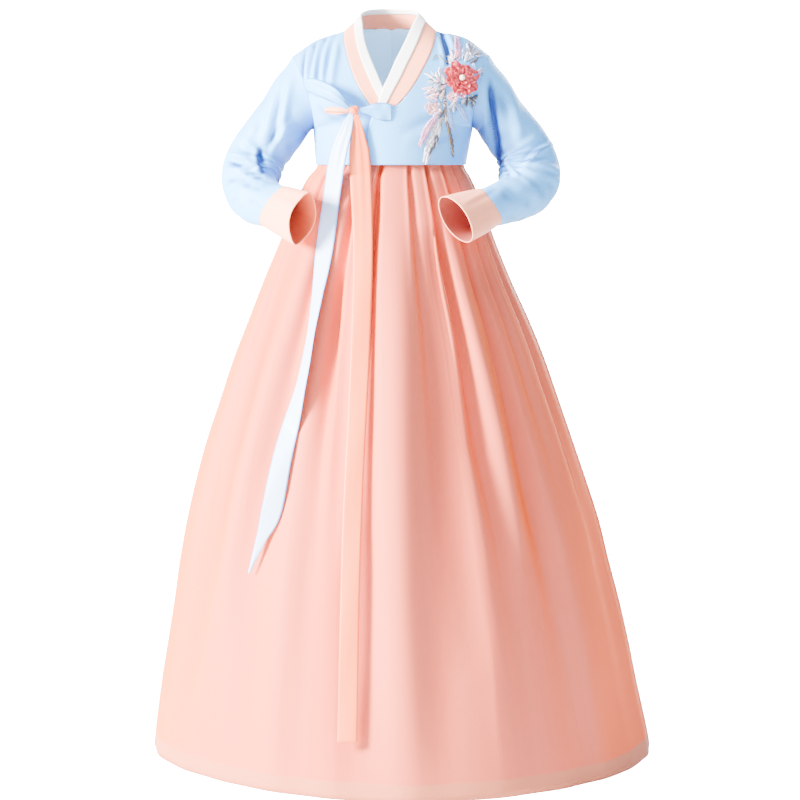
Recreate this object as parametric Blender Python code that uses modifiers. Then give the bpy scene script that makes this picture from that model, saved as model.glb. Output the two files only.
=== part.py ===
"""Korean hanbok in its worn form: a short jacket over a long pleated skirt.

Metres, +Z up. The front faces -Y and the wearer's left is at +X. The origin is at the base
of the neck, midway between the shoulders, where the wearer carries the garment.
"""

import math
from dataclasses import dataclass

import bmesh
import bpy
import numpy as np
from mathutils import Quaternion, Vector
from mathutils.bvhtree import BVHTree

SKIRT_CLOTH = 0.0010
JACKET_CLOTH = 0.0014
STIFF_CLOTH = 0.0018
STRIP_CLOTH = 0.0010
SEAM_GAP = 0.0003

# Skirt levels, bottom of the chest band to the hem.
SKIRT_TOP = -0.185
HEM = -1.306
LINING_HEM = -1.272
SKIRT_LEVELS = (
    -0.185, -0.232, -0.260, -0.303, -0.362, -0.436, -0.526,
    -0.635, -0.765, -0.900, -1.035, -1.170, -1.306,
)
SKIRT_SECTIONS = np.array([
    # z, half_width, half_depth, centre_x, centre_y
    (-0.100, 0.1270, 0.0880, 0.000, -0.0045),
    (-0.185, 0.1305, 0.0950, 0.000, -0.0045),
    (-0.232, 0.1335, 0.0975, 0.000, -0.0045),
    (-0.245, 0.1425, 0.1070, -0.002, -0.0055),
    (-0.260, 0.1510, 0.1160, -0.003, -0.0055),
    (-0.318, 0.1760, 0.1430, -0.004, -0.0045),
    (-0.377, 0.1985, 0.1680, -0.005, -0.0040),
    (-0.443, 0.2255, 0.1970, -0.005, -0.0030),
    (-0.517, 0.2565, 0.2290, -0.002, -0.0020),
    (-0.591, 0.2860, 0.2600, -0.001, -0.0010),
    (-0.665, 0.3115, 0.2880, 0.000, 0.0000),
    (-0.740, 0.3375, 0.3160, 0.001, 0.0000),
    (-0.815, 0.3610, 0.3410, 0.004, 0.0000),
    (-0.890, 0.3820, 0.3630, 0.008, 0.0000),
    (-0.965, 0.3985, 0.3810, 0.011, 0.0000),
    (-1.040, 0.4140, 0.3980, 0.016, 0.0000),
    (-1.115, 0.4290, 0.4140, 0.019, 0.0000),
    (-1.190, 0.4430, 0.4300, 0.021, 0.0000),
    (-1.267, 0.4570, 0.4450, 0.025, 0.0000),
    (-1.306, 0.4630, 0.4520, 0.027, 0.0000),
])
FRONT_VALLEYS = (
    # angle from the front in degrees, depth, share of the drop where it stays sharp, depth at the hem
    (-82, 0.010, 0.35, 0.009),
    (-66, 0.010, 0.30, 0.005),
    (-52, 0.013, 0.45, 0.010),
    (-37, 0.010, 0.30, 0.004),
    (-22, 0.016, 0.40, 0.008),
    (-8, 0.017, 0.50, 0.010),
    (14, 0.009, 0.14, 0.003),
    (28, 0.019, 0.50, 0.011),
    (43, 0.015, 0.45, 0.010),
    (55, 0.010, 0.25, 0.004),
    (68, 0.012, 0.30, 0.007),
    (82, 0.010, 0.35, 0.009),
)
VALLEY_TOP_DEPTH = 0.006
BACK_VALLEYS = 12
CREST_SWELL = 0.003
HEM_WAVE = 0.006
LINING_COLUMNS = 28
LINING_LEVELS = (-0.186, -0.232, -0.300, -0.420, -0.600, -0.860, LINING_HEM)
BAND_LEVELS = (-0.115, -0.150, -0.1848)

# Jacket. Fronts and backs share levels: the low ones up the side seam, the rest up the armhole.
EDGE_LEVELS = 6
NECK_LEVELS = 8
SIDE_LEVELS = 5
ARMHOLE_LEVELS = 10
BACK_NECK_LEVELS = 4
PANEL_COLUMNS = 9
HEM_SIDE = 0.1376
JACKET_HEM = -0.2315
SHOULDER_TIP = {"left": (0.1805, 0.000, -0.036), "right": (-0.1790, 0.000, -0.037)}
ARMPIT = {"left": (0.1500, 0.000, -0.164), "right": (-0.1420, 0.000, -0.166)}
ARMHOLE_DEPTH = {"front": -0.056, "back": 0.060}
ARMHOLE_INSET = 0.010
FREE_EDGE = {
    "left": ((-0.0352, -0.1095, JACKET_HEM), (-0.0430, -0.1095, -0.187),
             (-0.0360, -0.1110, -0.152), (-0.0225, -0.1125, -0.1290)),
    "right": ((0.0200, -0.1075, JACKET_HEM), (0.0160, -0.1075, -0.190),
              (0.0060, -0.1070, -0.155), (-0.0085, -0.1045, -0.1300)),
}
COLLAR_SEAM = {
    "left": ((0.0113, -0.1115, -0.1250), (0.0382, -0.1000, -0.0946), (0.0671, -0.0680, -0.0435),
             (0.0792, -0.0360, -0.0100), (0.0806, 0.0000, 0.0133)),
    "right": ((-0.0345, -0.1050, -0.1270), (-0.0420, -0.1020, -0.1170), (-0.0640, -0.0880, -0.0783),
              (-0.0788, -0.0600, -0.0344), (-0.0848, -0.0300, -0.0026), (-0.0818, 0.0000, 0.0133)),
}
COLLAR_INNER = {
    "left": ((-0.0220, -0.1135, -0.1262), (-0.0137, -0.1035, -0.0998), (-0.0020, -0.0900, -0.0746),
             (0.0113, -0.0700, -0.0435), (0.0276, -0.0440, -0.0103), (0.0400, -0.0180, 0.0180),
             (0.0507, 0.0120, 0.0415)),
    "right": ((-0.0075, -0.1005, -0.1140), (-0.0137, -0.0960, -0.0998), (-0.0246, -0.0850, -0.0728),
              (-0.0392, -0.0620, -0.0380), (-0.0490, -0.0400, -0.0080), (-0.0525, -0.0180, 0.0180),
              (-0.0546, 0.0120, 0.0405)),
}
NAPE_SEAM = (0.0, 0.0680, 0.0167)
NAPE_TOP = (0.0, 0.0550, 0.0526)
NAPE_TOP_SIDE = 0.040
BACK_CENTRE = ((0.0, 0.0970, JACKET_HEM), (0.0, 0.0985, -0.150), (0.0, 0.0920, -0.060), NAPE_SEAM)
COLLAR_SHARES = (0.0, 0.31, 0.62, 0.81, 1.0)
STRIP_GAP = 0.0009

# Sleeves: straight upper arm, round elbow, straight forearm, then the cuff.
ELBOW = {"left": (0.292, 0.012, -0.270), "right": (-0.292, 0.012, -0.276)}
WRIST = {"left": (0.115, -0.172, -0.3275), "right": (-0.156, -0.168, -0.3265)}
ELBOW_BEND = 0.078
FIRST_SECTION = 0.052
CUFF_LENGTH = 0.095
SLEEVE_SECTIONS = {
    # share of the sleeve, half size towards the inside of the arm, half size to front and back
    "left": np.array([(0.0, 0.047, 0.050), (0.25, 0.051, 0.050), (0.50, 0.054, 0.047),
                      (0.75, 0.043, 0.043), (1.0, 0.035, 0.038)]),
    "right": np.array([(0.0, 0.051, 0.050), (0.25, 0.052, 0.050), (0.50, 0.054, 0.047),
                       (0.75, 0.046, 0.044), (1.0, 0.040, 0.038)]),
}
SLEEVE_RINGS = 14
SHOULDER_RINGS = 2
CUFF_RINGS = 4
CUFF_MOUTH = (0.048, 0.028)
CUFF_LEAN = {"left": (0.61, -0.26, -0.75), "right": (-0.26, 0.07, -0.963)}
ELBOW_CREASE = 0.0026
CREASE_PITCH = 0.055

# Ties: x, z, half_width, turn of the ribbon in degrees.
TIE_LIFT = 0.0025
TIE_HANG = -0.1180
BLUE_TIE = (
    (-0.0700, -0.1398, 0.0035, 0), (-0.0800, -0.1700, 0.0120, 20), (-0.0975, -0.2316, 0.0180, 33),
    (-0.1180, -0.3800, 0.0180, 33), (-0.1300, -0.4600, 0.0180, 55), (-0.1397, -0.5200, 0.0180, 70),
    (-0.1500, -0.5800, 0.0180, 62), (-0.1627, -0.6390, 0.0180, 56), (-0.1874, -0.7340, 0.0180, 22),
    (-0.2071, -0.8310, 0.0180, 15), (-0.2200, -0.8750, 0.0090, 10), (-0.2330, -0.9230, 0.0020, 0),
)
PEACH_TIE = (
    (-0.0610, -0.1404, 0.0035, 0), (-0.0580, -0.1850, 0.0140, 0), (-0.0545, -0.2316, 0.0190, 0),
    (-0.0487, -0.3794, 0.0175, 0), (-0.0516, -0.5191, 0.0170, 0), (-0.0563, -0.6379, 0.0165, 0),
    (-0.0640, -0.8036, 0.0165, 0), (-0.0684, -0.9513, 0.0165, 0), (-0.0729, -1.2069, 0.0170, 0),
)
KNOT_CENTRE = (-0.0655, -0.1180, -0.1335)
KNOT_SIZE = (0.0230, 0.0130, 0.0160)
# Bow pieces: x, y, z, half_width.
TIE_ROOT = (
    (0.0010, -0.1161, -0.1410, 0.0133), (-0.0140, -0.1169, -0.1403, 0.0128),
    (-0.0300, -0.1175, -0.1390, 0.0095), (-0.0440, -0.1178, -0.1368, 0.0055),
    (-0.0556, -0.1180, -0.1345, 0.0035),
)
BLUE_LOOP = (
    (-0.0738, -0.1200, -0.1298, 0.0028), (-0.0950, -0.1190, -0.1100, 0.0090),
    (-0.1150, -0.1080, -0.1000, 0.0120), (-0.1340, -0.0930, -0.0920, 0.0120),
    (-0.1480, -0.0800, -0.0880, 0.0110), (-0.1460, -0.0750, -0.0890, 0.0105),
    (-0.1300, -0.0840, -0.0950, 0.0110), (-0.1130, -0.0980, -0.1030, 0.0100),
    (-0.0930, -0.1100, -0.1130, 0.0070), (-0.0740, -0.1160, -0.1300, 0.0028),
)
PEACH_LOOP = (
    (-0.0748, -0.1200, -0.1358, 0.0022), (-0.0930, -0.1160, -0.1360, 0.0070),
    (-0.1120, -0.1040, -0.1350, 0.0080), (-0.1170, -0.0960, -0.1350, 0.0078),
    (-0.1090, -0.0985, -0.1350, 0.0075), (-0.0930, -0.1085, -0.1360, 0.0060),
    (-0.0748, -0.1160, -0.1360, 0.0022),
)

# Applique on the left front: places are x, z on the panel.
APPLIQUE_LIFT = 0.0008
FLOWER_PLACE = (0.1262, -0.0781)
OUTER_PETALS = (0.0060, 0.0310, 0.0009, 0.0100)
INNER_PETALS = (0.0067, 0.0205, 0.0027, 0.0140)
PEARL_RADIUS = 0.0060
PEARL_RISE = 0.0065
LEAVES = (
    # name, base x, base z, tip x, tip z, half_width
    ("leaf_top", 0.1210, -0.0440, 0.1190, -0.0160, 0.0060),
    ("leaf_left_high", 0.0905, -0.0740, 0.0600, -0.0690, 0.0055),
    ("leaf_left_mid", 0.0925, -0.0885, 0.0616, -0.0950, 0.0060),
    ("spray_lilac", 0.0700, -0.1460, 0.0560, -0.1930, 0.0060),
    ("spray_silver", 0.0860, -0.1480, 0.0700, -0.2170, 0.0045),
)
BLOSSOMS = (
    # name, x, z, radius
    ("blossom_low", 0.0730, -0.1280, 0.0125),
    ("blossom_high", 0.1075, -0.1190, 0.0090),
)

COLOURS = {
    # name: red, green, blue, roughness
    "sky_blue": (0.58, 0.76, 0.93, 0.45),
    "peach_organza": (0.89, 0.60, 0.50, 0.50),
    "peach_lining": (0.86, 0.54, 0.44, 0.60),
    "pale_peach": (0.94, 0.76, 0.70, 0.50),
    "white": (0.94, 0.94, 0.95, 0.60),
    "ice_blue": (0.82, 0.87, 0.96, 0.40),
    "coral": (0.74, 0.22, 0.22, 0.60),
    "pearl": (0.93, 0.90, 0.87, 0.20),
    "lilac_leaf": (0.75, 0.62, 0.76, 0.50),
    "silver_leaf": (0.62, 0.61, 0.65, 0.35),
}


@dataclass
class Sheet:
    """A cut piece as a grid of points (rows, columns, xyz), with its face side turned by flip."""

    points: np.ndarray
    closed: bool = False
    flip: bool = False


def clear_scene():
    for thing in list(bpy.data.objects):
        bpy.data.objects.remove(thing, do_unlink=True)


def make_material(name):
    red, green, blue, roughness = COLOURS[name]
    material = bpy.data.materials.new(name)
    material.use_nodes = True
    shader = material.node_tree.nodes["Principled BSDF"]
    shader.inputs["Base Color"].default_value = (red, green, blue, 1.0)
    shader.inputs["Roughness"].default_value = roughness
    shader.inputs["Metallic"].default_value = 0.0
    return material


def smooth_path(rows, count):
    """Even steps along a Catmull-Rom curve through the rows, whose first three values are x, y, z."""
    knots = np.array(rows, dtype=float)
    ends = np.vstack([2 * knots[0] - knots[1], knots, 2 * knots[-1] - knots[-2]])
    dense = []
    for index in range(1, len(ends) - 2):
        before, start, stop, after = ends[index - 1:index + 3]
        for t in np.linspace(0.0, 1.0, 12, endpoint=False):
            linear = (stop - before) * t
            square = (2 * before - 5 * start + 4 * stop - after) * t * t
            cube = (3 * start - before - 3 * stop + after) * t ** 3
            dense.append(start + (linear + square + cube) / 2)
    dense.append(knots[-1])
    dense = np.array(dense)
    steps = np.linalg.norm(np.diff(dense[:, :3], axis=0), axis=1)
    travelled = np.concatenate([[0.0], np.cumsum(steps)])
    wanted = np.linspace(0.0, travelled[-1], count)
    return np.column_stack([np.interp(wanted, travelled, column) for column in dense.T])


def unit(vectors):
    return vectors / np.maximum(np.linalg.norm(vectors, axis=-1, keepdims=True), 1e-12)


def point_key(point):
    return tuple(np.round(point, 6) + 0.0)


def shared_normals(sheets):
    """Face-side normals at each sheet's points, averaged over every sheet that meets there."""
    totals = {}
    for sheet in sheets:
        rows, columns, _ = sheet.points.shape
        sign = -1.0 if sheet.flip else 1.0
        for row in range(rows - 1):
            for column in range(columns if sheet.closed else columns - 1):
                beside = (column + 1) % columns
                corners = [sheet.points[row, column], sheet.points[row, beside],
                           sheet.points[row + 1, beside], sheet.points[row + 1, column]]
                for index, corner in enumerate(corners):
                    ahead = unit(corners[(index + 1) % 4] - corner)
                    behind = unit(corners[index - 1] - corner)
                    opening = math.acos(min(1.0, max(-1.0, float(ahead @ behind))))
                    normal = unit(np.cross(ahead, behind)) * sign * opening
                    key = point_key(corner)
                    totals[key] = totals.get(key, 0.0) + normal
    fields = []
    for sheet in sheets:
        flat = [totals[point_key(point)] for point in sheet.points.reshape(-1, 3)]
        fields.append(unit(np.array(flat).reshape(sheet.points.shape)))
    return fields


def pulled_back(sheet):
    """The sheet's points with each rim moved in by half a seam gap."""
    points = sheet.points.copy()
    half = SEAM_GAP / 2
    points[0] += unit(sheet.points[1] - sheet.points[0]) * half
    points[-1] += unit(sheet.points[-2] - sheet.points[-1]) * half
    if not sheet.closed:
        points[:, 0] += unit(sheet.points[:, 1] - sheet.points[:, 0]) * half
        points[:, -1] += unit(sheet.points[:, -2] - sheet.points[:, -1]) * half
    return points


def add_object(name, mesh, material):
    data = bpy.data.meshes.new(name)
    mesh.to_mesh(data)
    mesh.free()
    data.materials.append(material)
    data.shade_smooth()
    data.set_sharp_from_angle(angle=math.radians(50))
    thing = bpy.data.objects.new(name, data)
    collection = bpy.data.collections["hanbok"]
    collection.objects.link(thing)
    return thing


def add_wall(name, sheet, normals, thickness, material):
    """A closed wall of cloth, half its thickness on each side of the sheet."""
    middle = pulled_back(sheet)
    rows, columns, _ = middle.shape
    mesh = bmesh.new()
    face_side = [[mesh.verts.new(p) for p in row] for row in middle + normals * thickness / 2]
    back_side = [[mesh.verts.new(p) for p in row] for row in middle - normals * thickness / 2]
    spans = [(column, (column + 1) % columns) for column in range(columns if sheet.closed else columns - 1)]
    for row in range(rows - 1):
        for a, b in spans:
            mesh.faces.new((face_side[row][a], face_side[row][b], face_side[row + 1][b], face_side[row + 1][a]))
            mesh.faces.new((back_side[row][a], back_side[row + 1][a], back_side[row + 1][b], back_side[row][b]))
    for row in (0, rows - 1):
        for a, b in spans:
            mesh.faces.new((face_side[row][a], face_side[row][b], back_side[row][b], back_side[row][a]))
    if not sheet.closed:
        for column in (0, columns - 1):
            for row in range(rows - 1):
                mesh.faces.new((face_side[row][column], face_side[row + 1][column],
                                back_side[row + 1][column], back_side[row][column]))
    bmesh.ops.recalc_face_normals(mesh, faces=mesh.faces)
    return add_object(name, mesh, material)


def add_group(pieces, thickness):
    """Walls for sheets that meet at seams: pieces maps a name to its sheet and material."""
    fields = shared_normals([sheet for sheet, _ in pieces.values()])
    made = {}
    for (name, (sheet, material)), normals in zip(pieces.items(), fields):
        made[name] = add_wall(name, sheet, normals, thickness, material)
    return made


def skirt_section(z):
    """Half width, half depth, centre x and centre y of the skirt at a height."""
    falling = SKIRT_SECTIONS[::-1]
    return [np.interp(z, falling[:, 0], falling[:, column]) for column in range(1, 5)]


def all_valleys():
    """Pleat valleys round the whole skirt, the front's by hand and the back's by rule."""
    valleys = [(math.radians(angle), depth, reach, soft) for angle, depth, reach, soft in FRONT_VALLEYS]
    for index in range(BACK_VALLEYS):
        angle = math.radians(98 + index * 164 / (BACK_VALLEYS - 1))
        depth = 0.013 + 0.004 * math.sin(2.1 * index)
        reach = 0.35 + 0.12 * math.sin(1.3 * index + 1)
        soft = 0.007 + 0.004 * math.sin(1.7 * index + 2)
        valleys.append((angle, depth, reach, soft))
    return valleys


def hem_wave(angle, drop):
    return HEM_WAVE * drop * (math.sin(3 * angle + 0.6) + 0.6 * math.sin(5 * angle + 2.0))


def skirt_point(angle, z, outward):
    half_width, half_depth, centre_x, centre_y = skirt_section(z)
    x = centre_x + (half_width + outward) * math.sin(angle)
    y = centre_y - (half_depth + outward) * math.cos(angle)
    return (x, y, z)


def skirt_row(valleys, first_angle, last_angle, z):
    """One level of a skirt panel: a rise, a valley, a rise and a crest for each pleat."""
    drop = (SKIRT_TOP - z) / (SKIRT_TOP - HEM)
    opening = math.radians(1.9 + 1.8 * drop)
    swell = CREST_SWELL * min(1.0, 4 * drop)
    row = [skirt_point(first_angle, z, swell + hem_wave(first_angle, drop))]
    stops = [valley[0] for valley in valleys[1:]] + [2 * last_angle - valleys[-1][0]]
    for (angle, depth, reach, soft), following in zip(valleys, stops):
        valley = np.interp(drop, (0.0, 0.1, reach, 1.0), (VALLEY_TOP_DEPTH, depth, 0.7 * depth, soft))
        row.append(skirt_point(angle - opening, z, hem_wave(angle, drop)))
        row.append(skirt_point(angle, z, hem_wave(angle, drop) - valley))
        row.append(skirt_point(angle + opening, z, hem_wave(angle, drop)))
        crest = (angle + following) / 2
        row.append(skirt_point(crest, z, swell + hem_wave(crest, drop)))
    return row


def tube_sheet(levels, columns, inward):
    """A plain tube inside the skirt, set in by inward(drop)."""
    rows = []
    for z in levels:
        drop = max(0.0, (SKIRT_TOP - z) / (SKIRT_TOP - HEM))
        angles = np.arange(columns) * 2 * math.pi / columns
        rows.append([skirt_point(angle, z, hem_wave(angle, drop) - inward(drop)) for angle in angles])
    return Sheet(np.array(rows), closed=True, flip=True)


def build_skirt(materials):
    valleys = all_valleys()
    front = valleys[:len(FRONT_VALLEYS)]
    back = valleys[len(FRONT_VALLEYS):]
    quarter = math.pi / 2
    front_rows = np.array([skirt_row(front, -quarter, quarter, z) for z in SKIRT_LEVELS])
    back_rows = np.array([skirt_row(back, quarter, 3 * quarter, z) for z in SKIRT_LEVELS])
    front_rows[:, -1] = back_rows[:, 0]
    back_rows[:, -1] = front_rows[:, 0]
    cloth = materials["peach_organza"]
    add_group({
        "chima_front": (Sheet(front_rows, flip=True), cloth),
        "chima_back": (Sheet(back_rows, flip=True), cloth),
    }, SKIRT_CLOTH)
    lining = tube_sheet(LINING_LEVELS, LINING_COLUMNS,
                        lambda drop: np.interp(drop, (0.0, 0.1, 1.0), (0.0074, 0.025, 0.024)))
    add_group({"chima_lining": (lining, materials["peach_lining"])}, SKIRT_CLOTH)
    band = tube_sheet(BAND_LEVELS, LINING_COLUMNS, lambda drop: 0.001)
    add_group({"chima_band": (band, materials["pale_peach"])}, JACKET_CLOTH)


def armhole(side, half):
    """Points up the front or back half of an armhole, from the armpit to the shoulder tip."""
    pit = np.array(ARMPIT[side])
    tip = np.array(SHOULDER_TIP[side])
    inward = -math.copysign(ARMHOLE_INSET, tip[0])
    points = []
    for turn in np.linspace(0.0, math.pi, ARMHOLE_LEVELS):
        point = (pit + tip) / 2 + (pit - tip) / 2 * math.cos(turn)
        point[0] += inward * math.sin(turn)
        point[1] += ARMHOLE_DEPTH[half] * math.sin(turn)
        points.append(point)
    points[0] = pit
    points[-1] = tip
    return np.array(points)


def panel_row(inner, outer, columns):
    """One level of a jacket panel, on an arc round the body from its inner to its outer edge."""
    first = math.asin(inner[0] / outer[0])
    centre_y = outer[1] + (inner[1] - outer[1]) / math.cos(first)
    row = []
    for column in range(columns):
        angle = first + (math.pi / 2 - first) * column / (columns - 1)
        x = outer[0] * math.sin(angle)
        y = outer[1] + (centre_y - outer[1]) * math.cos(angle)
        share = (x - inner[0]) / (outer[0] - inner[0])
        row.append((x, y, inner[2] + (outer[2] - inner[2]) * share))
    row[0] = tuple(inner)
    row[-1] = tuple(outer)
    return row


def panel(inner_edge, side, half):
    """A front or back panel between its inner edge and the side seam and armhole."""
    sign = 1.0 if side == "left" else -1.0
    side_seam = smooth_path([(sign * HEM_SIDE, 0.0, JACKET_HEM), ARMPIT[side]], SIDE_LEVELS)
    outer_edge = np.vstack([side_seam[:-1], armhole(side, half)])
    rows = [panel_row(a, b, PANEL_COLUMNS) for a, b in zip(inner_edge, outer_edge)]
    return np.array(rows)


def shoulder_folds(points):
    """Soft folds of the right front that fall from the neck and shoulder to the armpit."""
    folds = ((-0.098, 0.30, 0.0025), (-0.128, 0.34, 0.0030))
    for row in points[SIDE_LEVELS:-1, 1:-1]:
        for point in row:
            height = (point[2] + 0.166) / 0.13
            fade = max(0.0, math.sin(math.pi * min(1.0, max(0.0, height))))
            for foot, lean, size in folds:
                across = point[0] - foot - lean * (point[2] + 0.10)
                point[1] += size * fade * math.exp(-((across / 0.014) ** 2))


def collar_sheet(seams):
    """The collar band, from the neckline to its inner edge, from the right front round to the left."""
    seam = np.vstack([
        seams["front_right"], seams["back_right"][-2::-1], seams["back_left"][1:], seams["front_left"][-2::-1],
    ])
    front_count = NECK_LEVELS
    back_count = len(seam) - 2 * front_count
    right = smooth_path(COLLAR_INNER["right"], front_count)
    left = smooth_path(COLLAR_INNER["left"], front_count)[::-1]
    nape = smooth_path([right[-1], (-NAPE_TOP_SIDE, 0.036, 0.0500), NAPE_TOP,
                        (NAPE_TOP_SIDE, 0.036, 0.0500), left[0]], back_count + 2)
    inner = np.vstack([right, nape[1:-1], left])
    return Sheet(np.stack([seam + (inner - seam) * share for share in COLLAR_SHARES], axis=1))


def build_strip(sheet, normals, materials):
    """The white strip: a U-shaped wall over the collar's inner edge, clear of it all round."""
    clear = STIFF_CLOTH / 2 + STRIP_GAP + STRIP_CLOTH / 2
    edge = sheet.points[:, -1]
    across = unit(edge - sheet.points[:, -2])
    up = normals[:, -1]
    columns = [
        sheet.points[:, 2] + normals[:, 2] * clear,
        sheet.points[:, 3] + normals[:, 3] * clear,
        edge + up * clear,
        edge + across * clear,
        edge - up * clear,
        sheet.points[:, 3] - normals[:, 3] * clear,
    ]
    strip = Sheet(np.stack(columns, axis=1))
    add_group({"dongjeong": (strip, materials["white"])}, STRIP_CLOTH)


class Arm:
    """Centre line of a sleeve: straight, a round bend at the elbow, straight."""

    def __init__(self, start, elbow, wrist):
        self.start = Vector(start)
        self.upper = (Vector(elbow) - self.start).normalized()
        self.fore = (Vector(wrist) - Vector(elbow)).normalized()
        self.axis = self.upper.cross(self.fore).normalized()
        self.turn = self.upper.angle(self.fore)
        reach = ELBOW_BEND * math.tan(self.turn / 2)
        self.straight = (Vector(elbow) - self.start).length - reach
        self.bend = ELBOW_BEND * self.turn
        self.length = self.straight + self.bend + (Vector(wrist) - Vector(elbow)).length - reach
        self.inside = self.axis.cross(self.upper)
        self.centre = self.start + self.upper * self.straight + self.inside * ELBOW_BEND

    def at(self, distance):
        """Centre point, and the turn made so far, at a distance along the arm."""
        if distance <= self.straight:
            return self.start + self.upper * distance, Quaternion()
        turned = min(distance - self.straight, self.bend) / ELBOW_BEND
        rotation = Quaternion(self.axis, turned)
        point = self.centre - rotation @ (self.inside * ELBOW_BEND)
        rest = max(0.0, distance - self.straight - self.bend)
        return point + self.fore * rest, rotation


def ring(centre, towards, aside, half_in, half_aside, count, crease=None):
    points = []
    for index in range(count):
        angle = 2 * math.pi * index / count
        direction = towards * math.cos(angle) * half_in + aside * math.sin(angle) * half_aside
        swell = crease(angle, direction.normalized()) if crease else 0.0
        points.append(centre + direction + direction.normalized() * swell)
    return np.array(points)


def build_sleeve(side, panels, materials):
    """Sleeve and cuff of one side, as sheets that share the armhole and cuff seam rings."""
    front = panels["front_" + side][SIDE_LEVELS - 1:, -1]
    back = panels["back_" + side][SIDE_LEVELS - 1:, -1]
    armhole_ring = np.vstack([front, back[-2:0:-1]])
    count = len(armhole_ring)
    pit = Vector(ARMPIT[side])
    tip = Vector(SHOULDER_TIP[side])
    arm = Arm((pit + tip) / 2, ELBOW[side], WRIST[side])
    seam_at = arm.length - CUFF_LENGTH
    towards = (pit - tip).normalized()
    towards = (towards - arm.upper * towards.dot(arm.upper)).normalized()
    aside = arm.upper.cross(towards)
    if aside.y > 0:
        aside = -aside
    turned = Quaternion(arm.axis, arm.turn) @ towards
    lean = Vector(CUFF_LEAN[side])
    lean = (lean - arm.fore * lean.dot(arm.fore)).normalized()
    if lean.dot(turned) < 0:
        lean = -lean
    roll = turned.angle(lean) * math.copysign(1.0, turned.cross(lean).dot(arm.fore))
    sections = SLEEVE_SECTIONS[side]

    def frame(distance):
        centre, rotation = arm.at(distance)
        along = rotation @ arm.upper
        share = min(1.0, max(0.0, (distance - arm.straight) / (seam_at - arm.straight)))
        rolled = Quaternion(along, roll * share * share * (3 - 2 * share))
        return centre, rolled @ (rotation @ towards), rolled @ (rotation @ aside)

    def creased_ring(distance):
        centre, inner, beside = frame(distance)
        share = (distance - FIRST_SECTION) / (seam_at - FIRST_SECTION)
        half_in = np.interp(share, sections[:, 0], sections[:, 1])
        half_aside = np.interp(share, sections[:, 0], sections[:, 2])
        from_elbow = distance - arm.straight - arm.bend / 2
        window = math.exp(-((from_elbow / 0.075) ** 2)) * min(1.0, 4 * (1 - share))

        def crease(angle, direction):
            facing = (1 + direction.dot(arm.inside)) / 2
            wave = math.sin(2 * math.pi * from_elbow / CREASE_PITCH + 1.3 * math.sin(angle))
            return ELBOW_CREASE * window * (0.35 + 0.5 * facing) * wave

        return ring(centre, inner, beside, half_in, half_aside, count, crease)

    first = creased_ring(FIRST_SECTION)
    rings = [armhole_ring]
    for step in range(1, SHOULDER_RINGS + 1):
        share = step / (SHOULDER_RINGS + 1)
        rings.append(armhole_ring + (first - armhole_ring) * share)
    rings += [creased_ring(distance) for distance in np.linspace(FIRST_SECTION, seam_at, SLEEVE_RINGS)]
    cuff_rings = [rings[-1]]
    for step in range(1, CUFF_RINGS + 1):
        share = step / CUFF_RINGS
        centre, inner, beside = frame(seam_at + CUFF_LENGTH * share)
        half_in = sections[-1, 1] + (CUFF_MOUTH[0] - sections[-1, 1]) * share
        half_aside = sections[-1, 2] + (CUFF_MOUTH[1] - sections[-1, 2]) * share
        cuff_rings.append(ring(centre, inner, beside, half_in, half_aside, count))
    flip = side == "left"
    return Sheet(np.array(rings), closed=True, flip=flip), Sheet(np.array(cuff_rings), closed=True, flip=flip)


def build_jacket(materials):
    panels = {}
    seams = {}
    for side in ("right", "left"):
        neckline = smooth_path(COLLAR_SEAM[side], NECK_LEVELS)
        edge = np.vstack([smooth_path(FREE_EDGE[side], EDGE_LEVELS), neckline])
        panels["front_" + side] = panel(edge, side, "front")
        shoulder = neckline[-1]
        centre = smooth_path(BACK_CENTRE, EDGE_LEVELS + NECK_LEVELS - BACK_NECK_LEVELS + 1)
        bow = (NAPE_SEAM, (shoulder[0] * 0.60, 0.0560, 0.0178), shoulder)
        nape = smooth_path(bow, BACK_NECK_LEVELS)
        panels["back_" + side] = panel(np.vstack([centre[:-1], nape]), side, "back")
        seams["front_" + side] = neckline
        seams["back_" + side] = nape
    shoulder_folds(panels["front_right"])
    sheets = {
        "jeogori_front_right": Sheet(panels["front_right"], flip=True),
        "jeogori_front_left": Sheet(panels["front_left"]),
        "jeogori_back_right": Sheet(panels["back_right"]),
        "jeogori_back_left": Sheet(panels["back_left"], flip=True),
    }
    cuffs = {}
    for side in ("right", "left"):
        sheets["sleeve_" + side], cuffs["cuff_" + side] = build_sleeve(side, panels, materials)
    collar = collar_sheet(seams)
    names = list(sheets) + list(cuffs) + ["git_collar"]
    fields = shared_normals(list(sheets.values()) + list(cuffs.values()) + [collar])
    normals = dict(zip(names, fields))
    made = {}
    for name, sheet in sheets.items():
        made[name] = add_wall(name, sheet, normals[name], JACKET_CLOTH, materials["sky_blue"])
    for name, sheet in cuffs.items():
        made[name] = add_wall(name, sheet, normals[name], JACKET_CLOTH, materials["pale_peach"])
    add_wall("git_collar", collar, normals["git_collar"], STIFF_CLOTH, materials["pale_peach"])
    build_strip(collar, normals["git_collar"], materials)
    return made


def skirt_front_y(x, z):
    """Depth of the skirt's front crests at a place seen from the front."""
    drop = max(0.0, (SKIRT_TOP - z) / (SKIRT_TOP - HEM))
    half_width, half_depth, centre_x, centre_y = skirt_section(z)
    angle = math.asin((x - centre_x) / half_width)
    outward = CREST_SWELL + hem_wave(angle, drop)
    across = (x - centre_x) / (half_width + outward)
    return centre_y - (half_depth + outward) * math.sqrt(1 - across * across)


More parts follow.
